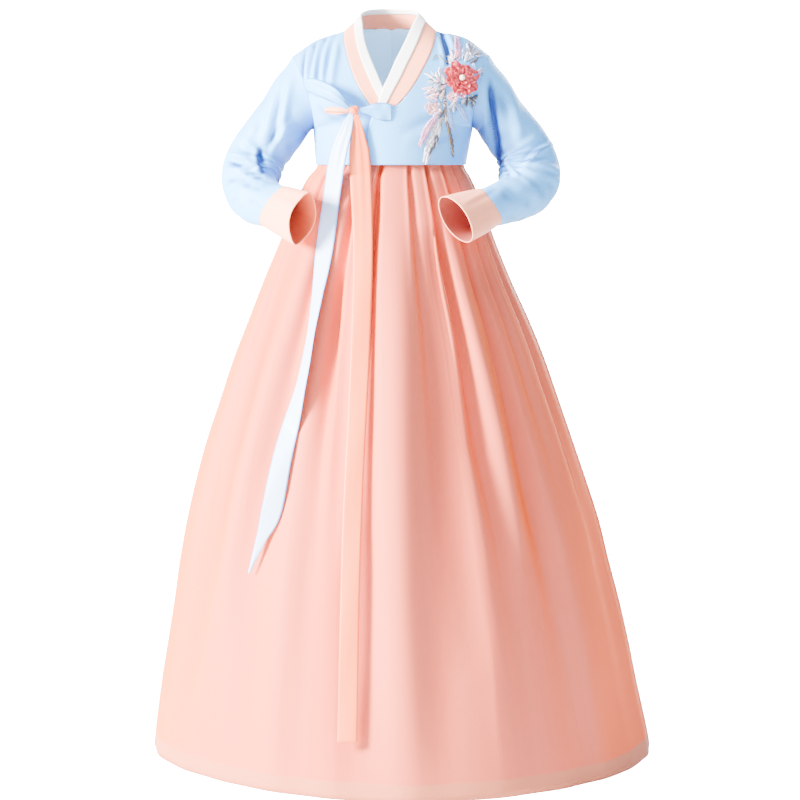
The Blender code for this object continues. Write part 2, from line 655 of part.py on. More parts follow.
def tie_sheet(rows, count):
    """A ribbon that hangs from the knot and then lies on the front of the skirt."""
    path = smooth_path([(x, 0.0, z, half, turn) for x, z, half, turn in rows], count)
    along = unit(np.gradient(path[:, :3], axis=0))
    points = []
    for (x, _, z, half, turn), direction in zip(path, along):
        side = np.array([-direction[2], 0.0, direction[0]])
        reach = half * math.cos(math.radians(turn))
        depth = half * math.sin(math.radians(turn))
        shares = (-1.0, 0.0, 1.0)
        places = [(x + side[0] * reach * share, z + side[2] * reach * share) for share in shares]
        resting = [skirt_front_y(*place) - TIE_LIFT + depth * share for place, share in zip(places, shares)]
        middle = min([TIE_HANG] + resting)
        points.append([(place[0], middle - depth * share, place[1]) for place, share in zip(places, shares)])
    return Sheet(np.array(points), flip=True)


def loop_sheet(rows, count):
    """A ribbon along a path in space, its width square to the path as seen from the front."""
    path = smooth_path(rows, count)
    along = unit(np.gradient(path[:, :3], axis=0))
    points = []
    for (x, y, z, half), direction in zip(path, along):
        side = np.array([-direction[2], 0.0, direction[0]]) * 0.5
        side[2] -= math.copysign(1.0, -side[2]) if side[2] else -1.0
        side = unit(side)
        if side[2] < 0:
            side = -side
        points.append([np.array((x, y, z)) + side * half * share for share in (-1.0, 0.0, 1.0)])
    return Sheet(np.array(points))


def build_ties(materials):
    ribbons = {
        "goreum_blue": (tie_sheet(BLUE_TIE, 34), "ice_blue"),
        "goreum_peach": (tie_sheet(PEACH_TIE, 28), "peach_organza"),
        "tie_root": (loop_sheet(TIE_ROOT, 8), "sky_blue"),
        "bow_loop_blue": (loop_sheet(BLUE_LOOP, 20), "sky_blue"),
        "bow_loop_peach": (loop_sheet(PEACH_LOOP, 14), "pale_peach"),
    }
    for name, (sheet, colour) in ribbons.items():
        add_group({name: (sheet, materials[colour])}, JACKET_CLOTH)
    mesh = bmesh.new()
    bmesh.ops.create_cube(mesh, size=1.0)
    bmesh.ops.scale(mesh, vec=KNOT_SIZE, verts=mesh.verts)
    bmesh.ops.translate(mesh, vec=KNOT_CENTRE, verts=mesh.verts)
    knot = add_object("bow_knot", mesh, materials["pale_peach"])
    rounding = knot.modifiers.new("rounding", "SUBSURF")
    rounding.levels = 2
    rounding.render_levels = 2


class Ground:
    """The outer face of a panel, met by looking along +Y at a place x, z."""

    def __init__(self, thing):
        points = [vertex.co for vertex in thing.data.vertices]
        faces = [tuple(face.vertices) for face in thing.data.polygons]
        self.tree = BVHTree.FromPolygons(points, faces)

    def at(self, x, z):
        place, normal, _, _ = self.tree.ray_cast(Vector((x, -1.0, z)), Vector((0.0, 1.0, 0.0)))
        return place, normal


def leaf_sheet(ground, base, tip, half_width):
    """A pointed leaf that follows the panel, as rows across its length."""
    base = np.array(base)
    tip = np.array(tip)
    side = np.array([tip[1] - base[1], base[0] - tip[0]])
    side = side / np.linalg.norm(side)
    lift = APPLIQUE_LIFT + STRIP_CLOTH / 2
    rows = []
    for share in np.linspace(0.0, 1.0, 9):
        half = half_width * max(0.25, math.sin(math.pi * share) ** 0.8)
        row = []
        for across in (-1.0, 0.0, 1.0):
            x, z = base + (tip - base) * share + side * half * across
            place, normal = ground.at(x, z)
            row.append(place + normal * (lift + 0.0012 * (1 - abs(across))))
        rows.append(row)
    return Sheet(np.array(rows), flip=True)


def petal_sheet(ground, place, radii_and_rises, petals, columns, ripple):
    """A ring of joined petals that cups away from the panel."""
    inner_radius, outer_radius, inner_rise, outer_rise = radii_and_rises
    centre, normal = ground.at(*place)
    right = Vector((0, 0, 1)).cross(normal).normalized()
    up = normal.cross(right)
    rows = []
    for share in (0.0, 0.3, 0.65, 1.0):
        radius = inner_radius + (outer_radius - inner_radius) * share
        rise = inner_rise + (outer_rise - inner_rise) * share
        row = []
        for column in range(columns):
            angle = 2 * math.pi * column / columns
            lobe = 1 - 0.16 * share * (0.5 + 0.5 * math.cos(petals * angle))
            height = rise + ripple * share * math.sin(petals * angle + 0.7)
            spoke = right * math.cos(angle) + up * math.sin(angle)
            row.append(centre + spoke * radius * lobe + normal * height)
        rows.append(row)
    return Sheet(np.array(rows), closed=True, flip=True)


def build_applique(front, materials):
    ground = Ground(front)
    pieces = {
        "flower_outer": (petal_sheet(ground, FLOWER_PLACE, OUTER_PETALS, 6, 24, 0.0018), "coral"),
        "flower_inner": (petal_sheet(ground, FLOWER_PLACE, INNER_PETALS, 5, 15, 0.0010), "coral"),
    }
    for name, base_x, base_z, tip_x, tip_z, half_width in LEAVES:
        colour = "silver_leaf" if name in ("leaf_left_high", "spray_silver") else "lilac_leaf"
        pieces[name] = (leaf_sheet(ground, (base_x, base_z), (tip_x, tip_z), half_width), colour)
    for name, x, z, radius in BLOSSOMS:
        petals = (0.0020, radius, 0.0010, 0.0040)
        pieces[name] = (petal_sheet(ground, (x, z), petals, 5, 10, 0.0006), "pale_peach")
    for name, (sheet, colour) in pieces.items():
        add_group({name: (sheet, materials[colour])}, STRIP_CLOTH)
    centre, normal = ground.at(*FLOWER_PLACE)
    mesh = bmesh.new()
    bmesh.ops.create_uvsphere(mesh, u_segments=12, v_segments=8, radius=PEARL_RADIUS)
    bmesh.ops.translate(mesh, vec=centre + normal * PEARL_RISE, verts=mesh.verts)
    add_object("flower_pearl", mesh, materials["pearl"])


def main():
    clear_scene()
    collection = bpy.data.collections.new("hanbok")
    bpy.context.scene.collection.children.link(collection)
    materials = {name: make_material(name) for name in COLOURS}
    build_skirt(materials)
    jacket = build_jacket(materials)
    build_ties(materials)
    build_applique(jacket["jeogori_front_left"], materials)


main()
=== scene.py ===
# %% [markdown]
# # A Korean hanbok, filled out as if it were worn
#
# The garment has two main parts: a short jacket with full sleeves, and a long skirt that is
# pleated into a band round the chest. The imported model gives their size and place, and this
# script dresses it in cloth. Every piece of cloth is a thin sheet over the form of its solid.

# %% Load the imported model
import math
import random

import bmesh
import bpy
import numpy as np
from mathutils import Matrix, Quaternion, Vector
from mathutils.bvhtree import BVHTree


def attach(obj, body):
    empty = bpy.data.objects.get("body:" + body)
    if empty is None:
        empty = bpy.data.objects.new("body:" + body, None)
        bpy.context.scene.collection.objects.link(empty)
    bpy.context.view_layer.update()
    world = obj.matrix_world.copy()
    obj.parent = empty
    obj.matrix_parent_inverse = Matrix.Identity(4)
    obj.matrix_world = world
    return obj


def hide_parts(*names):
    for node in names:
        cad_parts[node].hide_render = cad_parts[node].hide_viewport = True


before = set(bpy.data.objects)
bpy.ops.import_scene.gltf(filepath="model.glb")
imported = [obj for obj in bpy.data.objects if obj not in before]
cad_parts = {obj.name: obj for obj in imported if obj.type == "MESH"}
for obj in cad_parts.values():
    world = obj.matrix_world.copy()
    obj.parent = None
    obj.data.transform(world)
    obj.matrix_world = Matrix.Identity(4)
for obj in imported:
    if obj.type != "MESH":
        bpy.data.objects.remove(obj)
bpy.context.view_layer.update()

# %% [markdown]
# ## The camera
#
# The garment was seen from chest height, a few metres away, with a slight downward tilt. A long
# lens keeps the sleeves and the hem in proportion.


# %% Place the camera
def link(name, data):
    thing = bpy.data.objects.new(name, data)
    bpy.context.scene.collection.objects.link(thing)
    return thing


def aim(thing, place, target):
    thing.location = place
    thing.rotation_euler = (Vector(target) - Vector(place)).to_track_quat("-Z", "Y").to_euler()


HALF_PICTURE, LENS_LENGTH = 400, 2497  # both in pixels
camera_data = bpy.data.cameras.new("camera")
camera_data.angle = 2 * math.atan(HALF_PICTURE / LENS_LENGTH)
camera = link("camera", camera_data)
aim(camera, (0.0167, -4.6, -0.22), (0.0167, 0.0, -0.665))
bpy.context.scene.camera = camera
print("camera angle in degrees:", round(math.degrees(camera_data.angle), 1))

# %% [markdown]
# ## Floor and light
#
# The floor is one wide round plate. The camera sees it glow white, and the surroundings too, so
# no horizon line shows from any side, while both throw only a little light on the cloth. A large
# warm lamp stands far to the left and lights one side strongly. A weak cool lamp and the pale
# surroundings fill the shadows on the right.


# %% A wide pale floor
def shader_of(material):
    return material.node_tree.nodes["Principled BSDF"]


def feed(tree, socket, value):
    """Joins a socket to another one, or sets it to a number, a vector or a colour."""
    if isinstance(value, bpy.types.NodeSocket):
        tree.links.new(value, socket)
    else:
        socket.default_value = (*value, 1.0) if socket.type == "RGBA" else value


def ramp(tree, value, low, high, low_out=0.0, high_out=1.0):
    """Turns value from low to high into low_out to high_out, held flat outside."""
    node = tree.nodes.new("ShaderNodeMapRange")
    for socket, setting in zip(node.inputs, (value, low, high, low_out, high_out)):
        feed(tree, socket, setting)
    return node.outputs[0]


def plain_material(name, colour, rough):
    material = bpy.data.materials.new(name)
    material.use_nodes = True
    shader = shader_of(material)
    shader.inputs["Base Color"].default_value = (*colour, 1.0)
    shader.inputs["Roughness"].default_value = rough
    return material


def glow_strength(tree, soft, seen):
    """A light strength: soft for the light that the surface gives, seen for what the camera sees."""
    path = tree.nodes.new("ShaderNodeLightPath")
    return ramp(tree, path.outputs["Is Camera Ray"], 0.0, 1.0, soft, seen)


FLOOR_LEVEL, FLOOR_RADIUS = -1.3095, 9.0
FLOOR_GLOW, ROOM_GLOW, WHITE_GLOW = 0.4, 0.5, 60.0
mesh = bmesh.new()
bmesh.ops.create_circle(mesh, cap_ends=True, segments=96, radius=FLOOR_RADIUS)
bmesh.ops.translate(mesh, verts=mesh.verts[:], vec=(0.0, 0.0, FLOOR_LEVEL))
floor_mesh = bpy.data.meshes.new("floor")
mesh.to_mesh(floor_mesh)
mesh.free()
floor_material = plain_material("pale_floor", (0.92, 0.92, 0.93), 0.8)
floor_tree, floor_shader = floor_material.node_tree, shader_of(floor_material)
feed(floor_tree, floor_shader.inputs["Emission Color"], (1.0, 1.0, 1.0))
floor_glow = glow_strength(floor_tree, FLOOR_GLOW, WHITE_GLOW)
feed(floor_tree, floor_shader.inputs["Emission Strength"], floor_glow)
floor_mesh.materials.append(floor_material)
link("floor", floor_mesh)
print("floor at", FLOOR_LEVEL)

# %% Soft lamps and pale surroundings
LAMPS = (
    # name, place, aim, width, power, colour
    ("key_left", (-3.6, -1.7, 0.8), (0.0, 0.0, -0.6), 1.1, 2550, (1.0, 0.94, 0.84)),
    ("fill_front", (0.6, -4.2, 0.5), (0.0, 0.0, -0.6), 2.0, 118, (0.74, 0.9, 1.0)),
    ("top_soft", (-0.3, -0.6, 2.2), (0.0, 0.0, -0.2), 1.2, 110, (1.0, 1.0, 1.0)),
    ("back_soft", (1.8, 3.4, 0.9), (0.0, 0.0, -0.6), 2.0, 420, (1.0, 1.0, 1.0)),
)
for name, place, target, width, power, colour in LAMPS:
    data = bpy.data.lights.new(name, "AREA")
    data.shape = "RECTANGLE"
    data.size, data.size_y = width, width * 1.2
    data.energy, data.color = power, colour
    aim(link(name, data), place, target)
world = bpy.data.worlds.new("pale_room")
world.use_nodes = True
background = world.node_tree.nodes["Background"]
room_glow = glow_strength(world.node_tree, ROOM_GLOW, WHITE_GLOW)
feed(world.node_tree, background.inputs["Strength"], room_glow)
feed(world.node_tree, background.inputs["Color"], (0.76, 0.9, 1.0))
bpy.context.scene.world = world
print("lamps:", len(LAMPS))

# %% [markdown]
# ## Cloth materials
#
# Every fabric here is woven, so one shader group draws the threads from the piece's own UV map,
# which is laid out in metres as on the cutting table. It gives a height for the bump and a
# streak that is lighter or darker from thread to thread. Each fabric then has its own colours:
# a main one, and a deeper one, mostly painted shade in folds, creases and round the armpits;
# in the sheer skirt's pleats it also stands for cloth lying in several layers.


# %% A shader group for woven threads
def to_linear(red, green, blue):
    values = [c / 255 for c in (red, green, blue)]
    return tuple(c / 12.92 if c <= 0.04045 else ((c + 0.055) / 1.055) ** 2.4 for c in values)


def maths(tree, operation, *values, kind="ShaderNodeMath"):
    """Adds a math node, feeds its inputs, and gives its result."""
    node = tree.nodes.new(kind)
    node.operation = operation
    for socket, value in zip(node.inputs, values):
        feed(tree, socket, value)
    return node.outputs[0]


def build_weave_group():
    group = bpy.data.node_groups.new("woven_threads", "ShaderNodeTree")
    for names, way in ((("Vector", "Threads", "Streaks"), "INPUT"), (("Height", "Streak"), "OUTPUT")):
        for name in names:
            kind = "NodeSocketVector" if name == "Vector" else "NodeSocketFloat"
            group.interface.new_socket(name=name, in_out=way, socket_type=kind)
    given = group.nodes.new("NodeGroupInput")
    result = group.nodes.new("NodeGroupOutput")
    split = group.nodes.new("ShaderNodeSeparateXYZ")
    feed(group, split.inputs[0], given.outputs["Vector"])
    waves = []
    for axis in ("X", "Y"):
        threads = maths(group, "MULTIPLY", split.outputs[axis], given.outputs["Threads"])
        waves.append(maths(group, "SINE", threads))
    stretched = maths(group, "MULTIPLY", given.outputs["Vector"], (1.0, 0.02, 1.0),
                      kind="ShaderNodeVectorMath")
    noise = group.nodes.new("ShaderNodeTexNoise")
    streak = noise.outputs["Fac"]
    for name, value in (("Detail", 4.0), ("Vector", stretched), ("Scale", given.outputs["Streaks"])):
        feed(group, noise.inputs[name], value)
    crossed = maths(group, "MULTIPLY", *waves)
    feed(group, result.inputs["Height"], maths(group, "MULTIPLY_ADD", crossed, 0.25, streak))
    feed(group, result.inputs["Streak"], streak)
    return group


weave_group = build_weave_group()
print("weave group sockets:", [socket.name for socket in weave_group.interface.items_tree])


# %% A fabric from main colour, fold colour and finish
def mix_colours(tree, factor, first, second):
    mix = tree.nodes.new("ShaderNodeMix")
    mix.data_type = "RGBA"
    for index, value in ((0, factor), (6, first), (7, second)):
        feed(tree, mix.inputs[index], value)
    return mix.outputs[2]


def fabric(name, colour, fold_colour, rough, sheen=0.08, threads=9000, streaks=420, bump=0.05,
           streak_depth=0.06, specular=0.3, hem=None, rim=None):
    """Streaked cloth with painted shade in its folds; rim tints it at a slant, and hem below a level."""
    material = plain_material(name, (1.0, 1.0, 1.0), rough)
    tree, shader = material.node_tree, shader_of(material)
    weave = tree.nodes.new("ShaderNodeGroup")
    weave.node_tree = weave_group
    uv = tree.nodes.new("ShaderNodeUVMap").outputs["UV"]
    for socket, value in (("Vector", uv), ("Threads", threads), ("Streaks", streaks)):
        feed(tree, weave.inputs[socket], value)
    main = to_linear(*colour)
    darker = tuple(c * (1 - 2 * streak_depth) for c in main)
    cloth = mix_colours(tree, ramp(tree, weave.outputs["Streak"], 0.35, 0.65), darker, main)
    if rim:
        facing = tree.nodes.new("ShaderNodeLayerWeight").outputs["Facing"]
        cloth = mix_colours(tree, ramp(tree, facing, 0.2, 0.8), cloth, to_linear(*rim))
    # the fold attribute mixes in the fold colour, mostly as painted shade in folds, creases and shaded places
    fold = tree.nodes.new("ShaderNodeAttribute")
    fold.attribute_name = "fold"
    cloth = mix_colours(tree, fold.outputs["Fac"], cloth, to_linear(*fold_colour))
    if hem:
        level, hem_colour = hem
        split = tree.nodes.new("ShaderNodeSeparateXYZ")
        feed(tree, split.inputs[0], tree.nodes.new("ShaderNodeTexCoord").outputs["Object"])
        below = ramp(tree, split.outputs["Z"], level + 0.0015, level - 0.0015)
        cloth = mix_colours(tree, below, cloth, to_linear(*hem_colour))
    relief = tree.nodes.new("ShaderNodeBump")
    for socket, value in (("Strength", bump), ("Distance", 0.001), ("Height", weave.outputs["Height"])):
        feed(tree, relief.inputs[socket], value)
    for socket, value in (("Base Color", cloth), ("Specular IOR Level", specular), ("Sheen Weight", sheen),
                          ("Sheen Roughness", 0.4), ("Normal", relief.outputs["Normal"])):
        feed(tree, shader.inputs[socket], value)
    return material


EVEN = {"streaks": 120, "streak_depth": 0.02}
SILK = {"streaks": 1600, "bump": 0.3}
organza = fabric("peach_organza", (200, 97, 78), (200, 70, 42), 0.6, sheen=0.0, streaks=60,
                 streak_depth=0.02, bump=0.02, specular=0.12, hem=(-1.276, (186, 108, 84)), rim=(228, 90, 24))
lining_cloth = fabric("peach_lining", (236, 132, 92), (206, 84, 48), 0.6)
blue_satin = fabric("blue_satin", (94, 176, 250), (10, 52, 132), 0.5, bump=0.03, **EVEN)
inner_blue = fabric("inner_blue", (166, 216, 255), (90, 140, 220), 0.6, **EVEN)
# a darker copy of the inner blue: painted shade for the inside of the sleeves
shaded_sleeve_inside = fabric("shaded_sleeve_inside", (120, 150, 210), (70, 90, 160), 0.6, **EVEN)
inner_shader = shader_of(inner_blue)
inner_shader.inputs["Emission Color"].default_value = (*to_linear(150, 210, 255), 1.0)
inner_shader.inputs["Emission Strength"].default_value = 0.9  # the light that comes through the thin back
collar_satin = fabric("pale_peach_satin", (250, 158, 126), (226, 108, 76), 0.45, **EVEN)
cuff_lining = {
    "right": fabric("cuff_lining_lit", (236, 112, 72), (190, 62, 34), 0.55, **EVEN),
    "left": fabric("cuff_lining_shaded", (168, 76, 62), (120, 40, 32), 0.55, **EVEN),
}
white_cotton = fabric("white_cotton", (244, 244, 248), (200, 202, 214), 0.6, threads=6000, streak_depth=0.01)
ice_satin = fabric("ice_blue_satin", (180, 210, 252), (84, 150, 240), 0.4, **EVEN)
peach_ribbon = fabric("peach_ribbon", (238, 114, 66), (226, 78, 38), 0.45, **EVEN)
coral_organza = fabric("coral_organza", (206, 66, 80), (140, 14, 30), 0.55, sheen=0.1, streaks=900)
blush_organza = fabric("blush_organza", (248, 206, 222), (214, 110, 140), 0.5, sheen=0.2, streaks=900)
lilac_silk = fabric("lilac_silk", (224, 160, 200), (160, 84, 140), 0.5, sheen=0.1, **SILK)
white_silk = fabric("white_silk", (232, 232, 244), (130, 128, 156), 0.4, **SILK)
silver_silk = fabric("silver_silk", (112, 108, 118), (34, 28, 36), 0.35, **SILK)
pale_blue_silk = fabric("pale_blue_silk", (150, 186, 240), (96, 130, 210), 0.45, **SILK)
print("materials:", len(bpy.data.materials))

# %% [markdown]
# ## How a sheet of cloth is made here
#
# A sheet starts as a flat grid of squares, the way cloth starts as a flat cut. Each crossing is
# then moved to its place by the piece's own numbers. Curves through a few given rows keep the
# form smooth, and a Solidify modifier gives the cloth its thickness.


# %% Curves through a few rows
def refine(points, steps, axis=0, closed=False):
    """Adds points between neighbours along one axis, on a smooth curve through them."""
    rows = np.moveaxis(points, axis, 0)
    if closed:
        rows = np.concatenate([rows[-1:], rows, rows[:2]])
    else:
        rows = np.concatenate([2 * rows[:1] - rows[1:2], rows, 2 * rows[-1:] - rows[-2:-1]])
    fine = []
    for index in range(1, len(rows) - 2):
        before, start, stop, after = rows[index - 1:index + 3]
        for step in range(steps):
            t = step / steps
            linear = (stop - before) * t
            square = (2 * before - 5 * start + 4 * stop - after) * t * t
            cube = (3 * start - before - 3 * stop + after) * t ** 3
            fine.append(start + (linear + square + cube) / 2)
    if not closed:
        fine.append(rows[-2])
    return np.moveaxis(np.array(fine), 0, axis)


def smooth_path(rows, count):
    """Even steps along the curve through the rows, whose first three values are x, y, z."""
    dense = refine(np.array(rows, dtype=float), 12)
    steps = np.linalg.norm(np.diff(dense[:, :3], axis=0), axis=1)
    travelled = np.concatenate([[0.0], np.cumsum(steps)])
    wanted = np.linspace(0.0, travelled[-1], count)
    return np.column_stack([np.interp(wanted, travelled, column) for column in dense.T])


def unit(vectors):
    return vectors / np.maximum(np.linalg.norm(vectors, axis=-1, keepdims=True), 1e-12)


def close_up(grid):
    """A grid with its first column again at the end."""
    return np.concatenate([grid, grid[:, :1]], axis=1)


def sheet_normals(points, closed=False, flip=False):
    along = np.gradient(points, axis=0)
    if closed:
        around = np.roll(points, -1, axis=1) - np.roll(points, 1, axis=1)
    else:
        around = np.gradient(points, axis=1)
    normals = unit(np.cross(around, along))
    return -normals if flip else normals


# %% Soft shapes for folds and shades
def within(values):
    """Values cut off below 0 and above 1."""
    return np.clip(values, 0.0, 1.0)


def bell(away, width):
    """A soft hump, 1 at its centre."""
    return np.exp(-((away / width) ** 2))


def fade_ends(count, reach):
    """1 along a row, falling to 0 over the last steps at both ends."""
    steps = np.arange(count)
    return np.minimum(1.0, np.minimum(steps, steps[::-1]) / reach)


print("a bell at 0, 1 and 2 widths:", np.round(bell(np.arange(3), 1), 3))


# %% From a grid of points to a piece of cloth
def lay_grid(mesh, points, closed=False, flip=False, fold=None, slot=0):
    """Adds a grid to the mesh and moves its crossings to the points; UVs are in metres."""
    if closed:
        points = close_up(points)
        fold = None if fold is None else close_up(fold)
    rows, columns = points.shape[:2]
    across = np.linalg.norm(np.diff(points, axis=1), axis=2).max(axis=0)
    across = np.concatenate([[0.0], np.cumsum(across)])
    down = np.linalg.norm(np.diff(points, axis=0), axis=2).mean(axis=1)
    down = np.concatenate([[0.0], np.cumsum(down)])
    uv_layer = mesh.loops.layers.uv.verify()
    fold_layer = mesh.verts.layers.float.get("fold") or mesh.verts.layers.float.new("fold")
    made = bmesh.ops.create_grid(mesh, x_segments=columns - 1, y_segments=rows - 1, size=1.0)["verts"]
    place = {}
    for vertex in made:
        column = round((vertex.co.x + 1) / 2 * (columns - 1))
        row = round((vertex.co.y + 1) / 2 * (rows - 1))
        place[vertex] = (row, column)
        vertex.co = points[row, column]
        if fold is not None:
            vertex[fold_layer] = fold[row, column]
    faces = list({face for vertex in made for face in vertex.link_faces})
    for face in faces:
        face.smooth = True
        face.material_index = slot
        for loop in face.loops:
            row, column = place[loop.vert]
            loop[uv_layer].uv = (across[column], down[row])
    if flip:
        bmesh.ops.reverse_faces(mesh, faces=faces)
    if closed:
        bmesh.ops.remove_doubles(mesh, verts=made, dist=1e-6)
    return across[-1], down[-1]


def finish_piece(name, mesh, materials, node, wall=0.0, inner_slot=0):
    """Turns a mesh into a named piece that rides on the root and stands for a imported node."""
    data = bpy.data.meshes.new(name)
    mesh.to_mesh(data)
    mesh.free()
    for material in materials:
        data.materials.append(material)
    piece = link(name, data)
    if wall:
        thickness = piece.modifiers.new("thickness", "SOLIDIFY")
        thickness.thickness = wall
        thickness.offset = 0.0
        thickness.material_offset = inner_slot
        thickness.use_even_offset = False
    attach(piece, "root")
    if node:
        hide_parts(node)
    print(name, "faces:", len(data.polygons))
    return piece


def make_cloth(name, points, node, materials, closed=False, flip=False,
               wall=0.0008, fold=None, inner_slot=0):
    """One piece of cloth: its mesh, and the imported node that it stands for."""
    mesh = bmesh.new()
    width, length = lay_grid(mesh, points, closed, flip, fold)
    piece = finish_piece(name, mesh, materials, node, wall, inner_slot)


# %% [markdown]
# ### Folds placed one by one
#
# Cloth over a form breaks into soft ridges and troughs. Each is a line seen from the front or
# the back, with its own width and height, and it dies away at both ends. A trough runs beside a
# ridge, because the cloth that stands up is drawn from its neighbour.


# %% Soft ridges along listed lines
def fold_rise(points, normals, table, front=True):
    """Rise of every point from rows of: x, z at the start, x, z at the end, bow, width, height."""
    rise = np.zeros(points.shape[:2])
    facing = within((-1 if front else 1) * normals[..., 1] * 3)
    for x0, z0, x1, z1, bow, width, height in table:
        line = np.array((x1 - x0, z1 - z0))
        length = np.linalg.norm(line)
        gone = points[..., [0, 2]] - np.array((x0, z0))
        t = within((gone @ line) / length ** 2)
        side = (gone[..., 0] * line[1] - gone[..., 1] * line[0]) / length - bow * 4 * t * (1 - t)
        fade = np.sin(math.pi * t) ** 0.7
        rise += height * fade * (bell(side, width) - 0.45 * bell(side - 1.7 * width, width)) * facing
    return rise


# %% [markdown]
# ## The skirt
#
# A chima is a wide straight piece gathered into pleats at the chest band, so it hangs as a
# cone. Each pleat starts as a sharp valley under the jacket and opens into a soft wave lower
# down. The valleys keep their direction all the way to the hem, so a table of angles is enough,
# with a depth for each, and how far down it stays sharp.

# %% Skirt sizes
HEM, SKIRT_TOP = -1.306, -0.185
SKIRT_SECTIONS = (
    # z, half_width, half_depth, centre_x, centre_y
    (-0.185, 0.1305, 0.0950, 0.000, -0.0045),
    (-0.232, 0.1335, 0.0975, 0.000, -0.0045),
    (-0.260, 0.1510, 0.1160, -0.003, -0.0055),
    (-0.318, 0.1760, 0.1430, -0.004, -0.0045),
    (-0.377, 0.1985, 0.1680, -0.005, -0.0040),
    (-0.443, 0.2255, 0.1970, -0.005, -0.0030),
    (-0.517, 0.2565, 0.2290, -0.002, -0.0020),
    (-0.591, 0.2860, 0.2600, -0.001, -0.0010),
    (-0.665, 0.3115, 0.2880, 0.000, 0.0000),
    (-0.740, 0.3375, 0.3160, 0.001, 0.0000),
    (-0.815, 0.3610, 0.3410, 0.004, 0.0000),
    (-0.890, 0.3820, 0.3630, 0.008, 0.0000),
    (-0.965, 0.3985, 0.3810, 0.011, 0.0000),
    (-1.040, 0.4140, 0.3980, 0.016, 0.0000),
    (-1.115, 0.4290, 0.4140, 0.019, 0.0000),
    (-1.190, 0.4430, 0.4300, 0.021, 0.0000),
    (-1.267, 0.4570, 0.4450, 0.025, 0.0000),
    (-1.306, 0.4630, 0.4520, 0.027, 0.0000),
)
FRONT_VALLEYS = (
    # angle from the front, depth, share of the drop where it stays sharp, depth at the hem, lean
    (-82, 0.010, 0.35, 0.009, 0.3),
    (-66, 0.010, 0.30, 0.005, 0.6),
    (-52, 0.013, 0.35, 0.008, 0.6),
    (-37, 0.010, 0.22, 0.003, 0.6),
    (-22, 0.016, 0.40, 0.008, 0.7),
    (-8, 0.017, 0.50, 0.010, -0.7),
    (14, 0.009, 0.14, 0.003, -0.7),
    (28, 0.019, 0.50, 0.011, -0.8),
    (43, 0.015, 0.45, 0.010, -0.8),
    (55, 0.010, 0.18, 0.003, -0.6),
    (68, 0.012, 0.30, 0.007, -0.5),
    (82, 0.010, 0.35, 0.009, -0.3),
)
BACK_VALLEYS = 12
dense_sections = refine(np.array(SKIRT_SECTIONS), 10)[::-1]


def drop_at(z):
    """Share of the way down the skirt, 0 at the band and 1 at the hem."""
    return float(within((SKIRT_TOP - z) / (SKIRT_TOP - HEM)))


def skirt_section(z):
    """Half width, half depth, centre x and centre y of the skirt at a height."""
    return [np.interp(z, dense_sections[:, 0], dense_sections[:, column]) for column in range(1, 5)]


def all_valleys():
    valleys = [(math.radians(row[0]), *row[1:]) for row in FRONT_VALLEYS]
    for index in range(BACK_VALLEYS):
        angle = math.radians(98 + index * 164 / (BACK_VALLEYS - 1))
        depth = 0.013 + 0.004 * math.sin(2.1 * index)
        reach = 0.35 + 0.12 * math.sin(1.3 * index + 1)
        soft = 0.007 + 0.004 * math.sin(1.7 * index + 2)
        valleys.append((angle, depth, reach, soft, 0.7 if index % 2 else -0.7))
    return valleys


valleys = all_valleys()
print("pleats round the skirt:", len(valleys))

# %% Pleats as a rise or drop from the plain cone
LIP_HEIGHT, CREST_HEIGHT, FULL_LAYERS_AND_SHADE_DEPTH = 0.003, 0.0045, 0.013


def valley_opening(drop):
    """Angle that one valley unit covers: small under the jacket, wide at the hem."""
    return math.radians(2.0 + 2.6 * drop)


def slow_wave(angles, drop):
    """The wide uneven waves of the hem, which die away towards the band."""
    return 0.006 * drop * (np.sin(3 * angles + 0.6) + 0.6 * np.sin(5 * angles + 2.0))


def pleat_relief(angles, z):
    """How far each point stands out from the plain cone, and its painted shade in a valley, which also stands
    for layered sheer cloth, 0 to 1.
    """
    drop = drop_at(z)
    opening = valley_opening(drop)
    steep, gentle = 0.65 + 1.2 * drop, 2.1 - 0.4 * drop
    out = slow_wave(angles, drop)
    nearest = np.full(angles.shape, 9.0)
    deep = np.zeros(angles.shape)
    for angle, depth, reach, soft, lean in valleys:
        away = (angles - angle + math.pi) % (2 * math.pi) - math.pi
        u = away / opening * math.copysign(1.0, lean)
        nearest = np.minimum(nearest, np.abs(u))
        sizes = (0.006, depth, 0.8 * depth, 0.7 * soft, 0.3 * soft)
        size = np.interp(drop, (0.0, 0.1, reach, reach + 0.35, 1.0), sizes)
        bent = np.where(u > 0, within(u / steep), np.clip(u / gentle, -1.0, 0.0))
        shape = np.cos(bent * math.pi / 2) ** 2
        out -= size * shape
        fresh = max(0.0, 1 - drop / (reach + 0.25)) * min(1.0, 12 * drop)
        out += LIP_HEIGHT * fresh * bell(u - steep - 0.35, 0.45)
        # painted shade in each pleat valley, also standing for the sheer cloth lying in layers there; it
        # fades lower down as the valley opens
        valley_layers_and_shade = within(size / FULL_LAYERS_AND_SHADE_DEPTH) * max(0.0, 1 - drop / (reach + 0.3)) ** 0.8
        deep = np.maximum(deep, within(1.5 * shape - 0.25) * valley_layers_and_shade)
    out += CREST_HEIGHT * min(1.0, 3 * drop) * (1 - 0.75 * drop) * (1 - bell(nearest, 2.2))
    return out, deep


def skirt_points(angles, z, relief):
    half_width, half_depth, centre_x, centre_y = skirt_section(z)
    x = centre_x + (half_width + relief) * np.sin(angles)
    y = centre_y - (half_depth + relief) * np.cos(angles)
    return np.stack([x, y, np.broadcast_to(z, x.shape)], axis=-1)


# %% Sew the front and the back of the skirt
NEAR_VALLEY = (-1.9, -1.6, -1.3, -1.0, -0.75, -0.5, -0.25, 0.0, 0.15, 0.3, 0.45, 0.6, 0.8, 1.0, 1.2,
               1.5, 1.9)
CREST_STEPS = 8
SKIRT_ROWS = 120


